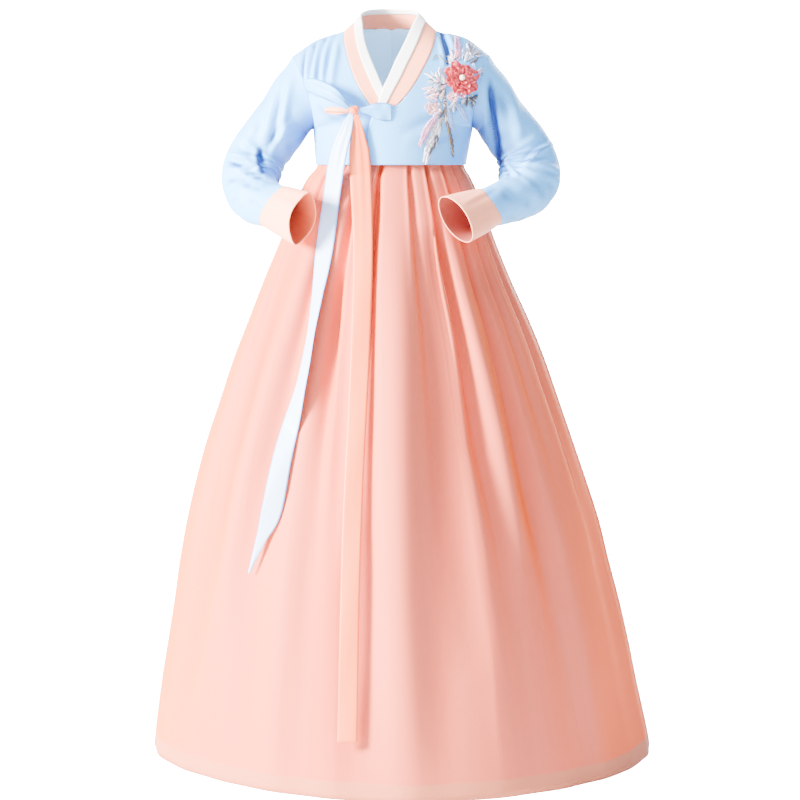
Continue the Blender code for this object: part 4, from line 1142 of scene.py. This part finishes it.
for name, rows, count, size, pitch, node, slot, cloth, shade in (
    ("long_tie_blue", BLUE_TIE, 220, 0.0012, 34, "goreum_blue", "ice_blue", ice_satin, (0.9, 0.4, 0.1)),
    ("long_tie_peach", PEACH_TIE, 200, 0.001, 26, "goreum_peach", "peach_organza", peach_ribbon,
     (0.5, 0.8, 0.12)),
):
    points = curl(hanging_ribbon(rows, count), size, pitch)
    make_cloth(name, points, node, [cloth], flip=True,
               fold=ribbon_fold(points, *shade), wall=0.0009)
LOOP_ROWS = 90
for name, rows, node, slot, cloth in (
    ("tie_root_cloth", TIE_ROOT, "tie_root", "sky_blue", blue_satin),
    ("bow_blue_cloth", BLUE_LOOP, "bow_loop_blue", "sky_blue", blue_satin),
    ("bow_peach_cloth", PEACH_LOOP, "bow_loop_peach", "pale_peach", collar_satin),
):
    points = looped_ribbon(rows, LOOP_ROWS)
    ripple = 0.0009 * np.sin(np.arange(LOOP_ROWS) * 0.16)[:, None] * ACROSS
    points = points + sheet_normals(points) * (0.0014 * np.cos(ACROSS * 2.2) + ripple)[..., None]
    creases = ribbon_fold(points, 0.8, 0.5, 0.45)
    if node == "tie_root":
        creases = creases[::-1]
    make_cloth(name, points, node, [cloth], fold=creases, wall=0.0009)

# %% [markdown]
# The knot is the ribbon itself, wrapped over and pulled tight. It is made from a cube that is
# subdivided and rounded into a small pillow, then grooved where one turn lies beside the next.

# %% The knot
KNOT_CENTRE = Vector((-0.0655, -0.118, -0.1335))
KNOT_HALF = (0.0098, 0.006, 0.0076)
mesh = bmesh.new()
bmesh.ops.create_cube(mesh, size=2.0)
bmesh.ops.subdivide_edges(mesh, edges=mesh.edges[:], cuts=11, use_grid_fill=True)
knot_groove_shade = mesh.verts.layers.float.new("fold")
knot_uv = mesh.loops.layers.uv.verify()
for vertex in mesh.verts:
    way = vertex.co.normalized()
    crease = bell(way.x * 0.8 + way.z * 0.5 - 0.35, 0.16)
    crease += 0.8 * bell(way.x * 0.9 - way.z * 0.4 + 0.5, 0.13)
    plump = 1 - 0.16 * crease - 0.1 * max(0.0, way.x) + 0.03 * math.sin(9 * way.z + 4 * way.x)
    # painted shade in the grooves between the turns of the knot
    vertex[knot_groove_shade] = min(1.0, 0.9 * crease)
    square = [math.copysign(abs(c) ** 0.75, c) * size for c, size in zip(way, KNOT_HALF)]
    vertex.co = KNOT_CENTRE + Vector(square) * plump
for face in mesh.faces:
    face.smooth = True
    for loop in face.loops:
        loop[knot_uv].uv = (loop.vert.co.x, loop.vert.co.z)
knot = finish_piece("knot_cloth", mesh, [peach_ribbon], "bow_knot")

# %% [markdown]
# ## Applique on the chest
#
# A gathered organza flower with a pearl sits on the wearer's left chest. Leaves and small
# blossoms surround it, and sprays hang below. They all lie on the left front, so a ray along the
# wearer's line of sight finds the cloth under each of them.

# %% Find the cloth under a place on the left front
front_grid = fine_panels["front_left"]
rows, columns = front_grid.shape[:2]
corners = [row * columns + column for row in range(rows - 1) for column in range(columns - 1)]
ground = BVHTree.FromPolygons([Vector(point) for point in front_grid.reshape(-1, 3)],
                              [(a, a + 1, a + columns + 1, a + columns) for a in corners])


def on_cloth(x, z):
    place, normal, _, _ = ground.ray_cast(Vector((x, -1.0, z)), Vector((0.0, 1.0, 0.0)))
    if place is None:
        place, normal, _, _ = ground.find_nearest(Vector((x, -0.06, z)))
    return place, normal if normal.y < 0 else -normal


FLOWER_PLACE = (0.1262, -0.0781)
flower_centre, flower_normal = on_cloth(*FLOWER_PLACE)
flower_right = Vector((0, 0, 1)).cross(flower_normal).normalized() * -1
flower_up = flower_normal.cross(flower_right).normalized()
if flower_up.z < 0:
    flower_up = -flower_up
print("flower stands on", [round(c, 3) for c in flower_centre])


# %% Petals
def petal(length, width, cup, ruffle, chance, rows=9, columns=9):
    """A petal in its own frame: x across, y outward, z away from the cloth."""
    t = np.linspace(0.0, 1.0, rows)[:, None]
    s = np.linspace(-1.0, 1.0, columns)[None, :]
    half = width * np.sin(math.pi * (0.08 + 0.7 * t)) ** 0.8
    y = length * t * (1 - 0.14 * s * s * t) + 0 * s
    wave = np.sin(s * chance.uniform(4, 7) + chance.uniform(0, 6))
    z = cup * t ** 1.5 * (0.6 + 0.4 * s * s) + ruffle * t ** 2 * wave - 0.0012 * t * bell(s, 0.2)
    return np.stack([s * half, y, z], axis=-1)


def ring_of_petals(mesh, centre, up, normal, count, start, length, width, cup, ruffle, rise, chance):
    right, up, normal = (np.array(v) for v in (flower_right, up, normal))
    turn = chance.uniform(0, 6)
    for index in range(count):
        angle = turn + 2 * math.pi * (index + chance.uniform(-0.16, 0.16)) / count
        own = petal(length * chance.uniform(0.84, 1.08), width * chance.uniform(0.9, 1.1), cup, ruffle,
                    chance)
        outward = right * math.cos(angle) + up * math.sin(angle)
        sideways = up * math.cos(angle) - right * math.sin(angle)
        lift = normal * (rise + 0.0005 * (index % 3))
        points = (np.array(centre) + lift + own[..., :1] * sideways
                  + (own[..., 1:2] + start) * outward + own[..., 2:] * normal)
        t = np.linspace(1.0, 0.0, own.shape[0])[:, None]
        s = np.linspace(-1.0, 1.0, own.shape[1])
        # painted shade at the base of each petal and along its middle crease
        lay_grid(mesh, points, fold=within(t ** 1.3 + 0.35 * bell(s, 1 / 6)), flip=True)


def petal_piece(name, node, slot, cloth, rings, centre, normal, seed):
    chance = random.Random(seed)
    mesh = bmesh.new()
    for row in rings:
        ring_of_petals(mesh, centre, flower_up, normal, *row, chance)
    finish_piece(name, mesh, [cloth], node, APPLIQUE_WALL)


# %% The flower
APPLIQUE_WALL = 0.0003
FLOWER_RINGS = {
    # petals, start, length, width, cup, ruffle, rise
    "outer": ((8, 0.003, 0.031, 0.012, 0.003, 0.0016, 0.0012),
              (9, 0.003, 0.0265, 0.0095, 0.0055, 0.0018, 0.0024)),
    "inner": ((8, 0.003, 0.02, 0.0075, 0.006, 0.0016, 0.0036),
              (6, 0.003, 0.0125, 0.0055, 0.006, 0.0012, 0.0046)),
}
for name, seed in (("outer", 5), ("inner", 9)):
    petal_piece("flower_petals_" + name, "flower_" + name, "coral", coral_organza, FLOWER_RINGS[name],
                flower_centre, flower_normal, seed)

# %% The pearl
PEARL_RADIUS, PEARL_LIFT = 0.0052, 0.009
pearl_material = plain_material("pearl", to_linear(240, 226, 204), 0.22)
pearl_tree = pearl_material.node_tree
pearl_noise = pearl_tree.nodes.new("ShaderNodeTexNoise")
pearl_place = pearl_tree.nodes.new("ShaderNodeTexCoord")
feed(pearl_tree, pearl_noise.inputs["Vector"], pearl_place.outputs["Object"])
feed(pearl_tree, pearl_noise.inputs["Scale"], 260.0)
pearl_tint = mix_colours(pearl_tree, pearl_noise.outputs["Fac"], to_linear(244, 230, 206),
                         to_linear(222, 192, 190))
feed(pearl_tree, shader_of(pearl_material).inputs["Base Color"], pearl_tint)
shader_of(pearl_material).inputs["Coat Weight"].default_value = 0.6


def add_bead(mesh, centre, radius, segments=10, slot=0):
    rings = segments * 2 // 3
    made = bmesh.ops.create_uvsphere(mesh, u_segments=segments, v_segments=rings, radius=radius)["verts"]
    bmesh.ops.translate(mesh, verts=made, vec=centre)
    for face in {face for vertex in made for face in vertex.link_faces}:
        face.smooth = True
        face.material_index = slot


mesh = bmesh.new()
add_bead(mesh, flower_centre + flower_normal * PEARL_LIFT, PEARL_RADIUS, 32)
finish_piece("pearl_bead", mesh, [pearl_material], "flower_pearl")

# %% Leaves and sprigs that lie on the cloth
LEAF_ROWS, LEAF_COLUMNS = 10, 7


def leaf_points(base, tip, half_width, lift, curve, rise):
    side = np.array([tip[1] - base[1], base[0] - tip[0]])
    side = side / np.linalg.norm(side)
    points = []
    for share in np.linspace(0.0, 1.0, LEAF_ROWS):
        half = half_width * max(0.06, math.sin(math.pi * share) ** 0.8)
        bow = curve * 4 * share * (1 - share)
        row = []
        for across in np.linspace(-1.0, 1.0, LEAF_COLUMNS):
            place, normal = on_cloth(*(base + (tip - base) * share + side * (half * across + bow)))
            row.append(place + normal * (lift + rise * (1 - abs(across)) ** 0.7))
        points.append(row)
    return np.array(points)


def add_leaf(mesh, base, tip, half, lift=0.0012, curve=0.0, slot=0, rise=0.0016):
    points = leaf_points(np.array(base), np.array(tip), half, lift, curve, rise)
    rib = (1 - np.abs(np.linspace(-1, 1, LEAF_COLUMNS)))[None, :] ** 3
    lay_grid(mesh, points, fold=np.repeat(rib, LEAF_ROWS, axis=0), flip=True, slot=slot)


def add_plume(mesh, base, tip, width, count, size, curve, chance, slot=0, barbs=True):
    """A sprig: short barbs or drops set close together on both sides of a bent line."""
    base, tip = np.array(base), np.array(tip)
    way = (tip - base) / np.linalg.norm(tip - base)
    side = np.array([way[1], -way[0]])
    for index in range(count):
        share = (index + chance.uniform(-0.3, 0.3)) / count
        spread = width * (0.25 + 0.75 * math.sin(math.pi * min(1.0, 0.15 + 0.8 * share)))
        hand = -1 if index % 2 else 1
        root = base + way * np.linalg.norm(tip - base) * share + side * curve * 4 * share * (1 - share)
        if barbs:
            end = root + way * size * chance.uniform(0.8, 1.2)
            end = end + side * hand * spread * chance.uniform(0.7, 1.1)
            add_leaf(mesh, root, end, size * 0.2, 0.0012 + 0.0005 * (index % 4), 0.0, slot, 0.0008)
        else:
            place, normal = on_cloth(*(root + side * hand * spread * chance.uniform(0.0, 1.0)))
            add_bead(mesh, place + normal * 0.0016, size * chance.uniform(0.7, 1.1), 6, slot)


print("a leaf has", (LEAF_ROWS - 1) * (LEAF_COLUMNS - 1), "faces")

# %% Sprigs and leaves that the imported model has
SPRIGS = (
    # name, node, slot, cloths, plumes, leaves
    ("sprig_top", "leaf_top", "lilac_leaf", [lilac_silk, white_silk], (
        # base x, z, tip x, z, width, count, size, curve, then slot and barbs
        (0.1205, -0.044, 0.119, -0.008, 0.006, 34, 0.01, 0.001, 0, True),
        (0.1205, -0.044, 0.119, -0.01, 0.0055, 40, 0.0013, 0.001, 1, False)), ()),
    ("leaves_high", "leaf_left_high", "silver_leaf", [white_silk], (), (
        # base x, z, tip x, z, half width, lift, curve, slot
        (0.095, -0.085, 0.06, -0.069, 0.004, 0.0012, 0.002, 0),
        (0.094, -0.083, 0.076, -0.066, 0.0036, 0.0012, -0.002, 0))),
    ("leaves_middle", "leaf_left_mid", "lilac_leaf", [blush_organza], (), (
        (0.095, -0.09, 0.056, -0.096, 0.0042, 0.0012, -0.002, 0),
        (0.095, -0.0925, 0.06, -0.106, 0.0044, 0.0012, 0.001, 0))),
    ("spray_pink", "spray_lilac", "lilac_leaf", [lilac_silk, white_silk], (
        (0.084, -0.14, 0.056, -0.19, 0.006, 46, 0.011, 0.003, 0, True),
        (0.083, -0.142, 0.057, -0.188, 0.006, 60, 0.0012, 0.003, 1, False)), ()),
    ("spray_metallic", "spray_silver", "silver_leaf", [white_silk, white_cotton, silver_silk], (
        (0.09, -0.148, 0.0655, -0.218, 0.0075, 26, 0.015, 0.004, 0, True),), (
        (0.088, -0.164, 0.083, -0.186, 0.003, 0.0025, 0.001, 1),
        (0.082, -0.182, 0.076, -0.204, 0.003, 0.0025, 0.001, 2),
        (0.076, -0.196, 0.0665, -0.217, 0.0034, 0.0025, 0.001, 2))),
)
FEATHERS = (
    ("feathers_blue", None, "lilac_leaf", [pale_blue_silk], (
        (0.1, -0.12, 0.108, -0.158, 0.005, 24, 0.013, 0.001, 0, True),
        (0.118, -0.118, 0.131, -0.143, 0.0045, 18, 0.012, -0.001, 0, True),
        (0.148, -0.045, 0.15, -0.076, 0.003, 18, 0.009, -0.002, 0, True)), ()),
    ("stem_spray", None, "silver_leaf", [silver_silk], (
        (0.0965, -0.144, 0.1095, -0.211, 0.0022, 26, 0.01, -0.003, 0, True),), ()),
)


def make_sprigs(table, chance):
    for name, node, slot, cloths, plumes, leaves in table:
        mesh = bmesh.new()
        for *ends, width, count, size, curve, cloth, barbs in plumes:
            add_plume(mesh, ends[:2], ends[2:], width, count, size, curve, chance, cloth, barbs)
        for *ends, half, lift, curve, cloth in leaves:
            add_leaf(mesh, ends[:2], ends[2:], half, lift, curve, cloth)
        finish_piece(name, mesh, cloths, node, APPLIQUE_WALL)


leaf_chance = random.Random(21)
make_sprigs(SPRIGS, leaf_chance)

# %% Blossoms with beaded middles
for name, node, x, z, radius, seed in (("blossom_low_silk", "blossom_low", 0.0739, -0.129, 0.0138, 3),
                                       ("blossom_high_silk", "blossom_high", 0.1095, -0.111, 0.01, 8)):
    rings = ((5, 0.0015, radius, radius * 0.5, 0.003, 0.0008, 0.0026),
             (4, 0.001, radius * 0.55, radius * 0.34, 0.004, 0.0006, 0.0036))
    petal_piece(name, node, "pale_peach", blush_organza, rings, *on_cloth(x, z), seed)
petal_piece("blossom_small", None, "lilac_leaf", lilac_silk,
            ((5, 0.001, 0.0085, 0.0044, 0.003, 0.0008, 0.004),), *on_cloth(0.1241, -0.105), 12)

# %% Small leaves round the flower
LEAVES_AROUND = (
    # base x, z, tip x, z, half width, curve, slot
    (0.1330, -0.0470, 0.1400, -0.0260, 0.0040, 0.001, 0),
    (0.1380, -0.0450, 0.1520, -0.0260, 0.0036, 0.001, 0),
    (0.1360, -0.0460, 0.1460, -0.0200, 0.0030, 0.001, 1),
    (0.1290, -0.0430, 0.1310, -0.0220, 0.0030, 0.000, 1),
    (0.1410, -0.0500, 0.1580, -0.0400, 0.0034, 0.001, 2),
    (0.1080, -0.0520, 0.1050, -0.0360, 0.0040, 0.001, 0),
    (0.1120, -0.0480, 0.1130, -0.0300, 0.0034, 0.001, 1),
    (0.0960, -0.0880, 0.0800, -0.0740, 0.0034, 0.001, 0),
    (0.0960, -0.0900, 0.0700, -0.0830, 0.0034, 0.001, 2),
    (0.0970, -0.0860, 0.0880, -0.0660, 0.0036, 0.001, 0),
    (0.0955, -0.0930, 0.0680, -0.1010, 0.0034, 0.001, 0),
    (0.0960, -0.1050, 0.0640, -0.1130, 0.0044, 0.001, 3),
    (0.0950, -0.0960, 0.0820, -0.1130, 0.0034, 0.001, 2),
    (0.0965, -0.0960, 0.0900, -0.1180, 0.0030, 0.001, 0),
    (0.0980, -0.0960, 0.0960, -0.1240, 0.0030, 0.001, 2),
    (0.0990, -0.0900, 0.0900, -0.0980, 0.0030, 0.001, 3),
    (0.1380, -0.1100, 0.1350, -0.1280, 0.0040, 0.001, 2),
    (0.1390, -0.1080, 0.1480, -0.1190, 0.0034, 0.001, 2),
    (0.1340, -0.1120, 0.1270, -0.1240, 0.0030, 0.001, 0),
    (0.0950, -0.1340, 0.0860, -0.1500, 0.0032, 0.001, 2),
    (0.1000, -0.1400, 0.0980, -0.1560, 0.0030, 0.000, 0),
)
LEAF_CLUSTERS = (
    # x, z, spread, heading and fan in degrees, count, slots
    (0.1430, -0.0360, 0.0150, 60, 60, 22, (0, 0, 1, 2)),
    (0.0900, -0.0860, 0.0170, 165, 75, 34, (0, 0, 2, 3, 1)),
    (0.1610, -0.0560, 0.0070, 280, 30, 9, (1, 3, 0)), (0.1420, -0.1120, 0.0080, 330, 70, 12, (2, 2, 0)),
    (0.0860, -0.1170, 0.0150, 220, 80, 24, (3, 0, 0, 1)), (0.1130, -0.0450, 0.0090, 100, 60, 12, (0, 3)),
    (0.1150, -0.1180, 0.0120, 260, 40, 16, (1, 0, 1)), (0.0820, -0.1760, 0.0120, 245, 25, 12, (2, 0)),
)
mesh = bmesh.new()
for *ends, half, curve, slot in LEAVES_AROUND:
    add_leaf(mesh, ends[:2], ends[2:], half, 0.0016, curve, slot)
for x, z, spread, heading, fan, count, slots in LEAF_CLUSTERS:
    for _ in range(count):
        at = math.radians(heading + fan * leaf_chance.uniform(-1, 1))
        way = np.array((math.cos(at), math.sin(at)))
        base = np.array((x, z)) + spread * leaf_chance.uniform(0.0, 1.0) * way
        long = leaf_chance.uniform(0.007, 0.014)
        add_leaf(mesh, base, base + long * way, long * 0.17, leaf_chance.uniform(0.0016, 0.0034),
                 leaf_chance.uniform(-0.001, 0.001), leaf_chance.choice(slots))
finish_piece("leaves_around", mesh, [white_silk, pale_blue_silk, silver_silk, blush_organza], None,
             APPLIQUE_WALL)
make_sprigs(FEATHERS, leaf_chance)

# %% Wire stems
gold_wire = plain_material("gold_wire", to_linear(150, 122, 70), 0.3)
shader_of(gold_wire).inputs["Metallic"].default_value = 0.8
WIRE_RADIUS, WIRE_LIFT, WIRE_STEPS, WIRE_SIDES = 0.0009, 0.0024, 40, 8
WIRES = (
    ((0.0761, -0.0440), (0.0790, -0.0380), (0.0841, -0.0353), (0.0890, -0.0400), (0.0960, -0.0448),
     (0.1040, -0.0500)),
    ((0.0980, -0.1180), (0.0950, -0.1400), (0.0900, -0.1600), (0.0840, -0.1800)),
    ((0.0990, -0.1180), (0.0990, -0.1500), (0.1040, -0.1800), (0.1100, -0.2110)),
)


def wire_points(route):
    path = smooth_path([(x, 0.0, z) for x, z in route], WIRE_STEPS)
    rows = []
    for index, (x, _, z) in enumerate(path):
        place, normal = on_cloth(x, z)
        ahead = Vector(path[min(index + 1, WIRE_STEPS - 1)] - path[max(index - 1, 0)]).normalized()
        side = normal.cross(ahead).normalized()
        turns = [2 * math.pi * k / WIRE_SIDES for k in range(WIRE_SIDES)]
        rows.append([place + normal * WIRE_LIFT + (side * math.cos(t) + normal * math.sin(t)) * WIRE_RADIUS
                     for t in turns])
    return np.array(rows)


mesh = bmesh.new()
for route in WIRES:
    lay_grid(mesh, wire_points(route), closed=True)
finish_piece("wire_stems", mesh, [gold_wire], None)

# %% Beads
BEAD_CLUSTERS = (
    # x, z, spread, count, size
    (0.0739, -0.1290, 0.0030, 9, 0.0011), (0.1095, -0.1110, 0.0022, 7, 0.0010),
    (0.1241, -0.1050, 0.0015, 4, 0.0009),
    (0.0800, -0.0900, 0.0180, 26, 0.0009), (0.1420, -0.0330, 0.0120, 16, 0.0009),
    (0.0930, -0.1180, 0.0100, 18, 0.0009),
    (0.1420, -0.1090, 0.0080, 10, 0.0010), (0.0790, -0.1980, 0.0090, 10, 0.0008),
    (0.0700, -0.1650, 0.0080, 12, 0.0008),
)
BLOSSOM_SPREAD = 0.004
mesh = bmesh.new()
chance = random.Random(4)
for x, z, spread, count, size in BEAD_CLUSTERS:
    lift = 0.0068 if spread < BLOSSOM_SPREAD else 0.003
    for _ in range(count):
        angle, reach = chance.uniform(0, 6.28), spread * chance.uniform(0, 1) ** 0.5
        place, normal = on_cloth(x + reach * math.cos(angle), z + reach * math.sin(angle))
        radius = size * chance.uniform(0.7, 1.2)
        add_bead(mesh, place + normal * lift, radius, 8, 0 if chance.random() < 0.7 else 1)
finish_piece("small_beads", mesh, [pearl_material, gold_wire], None)
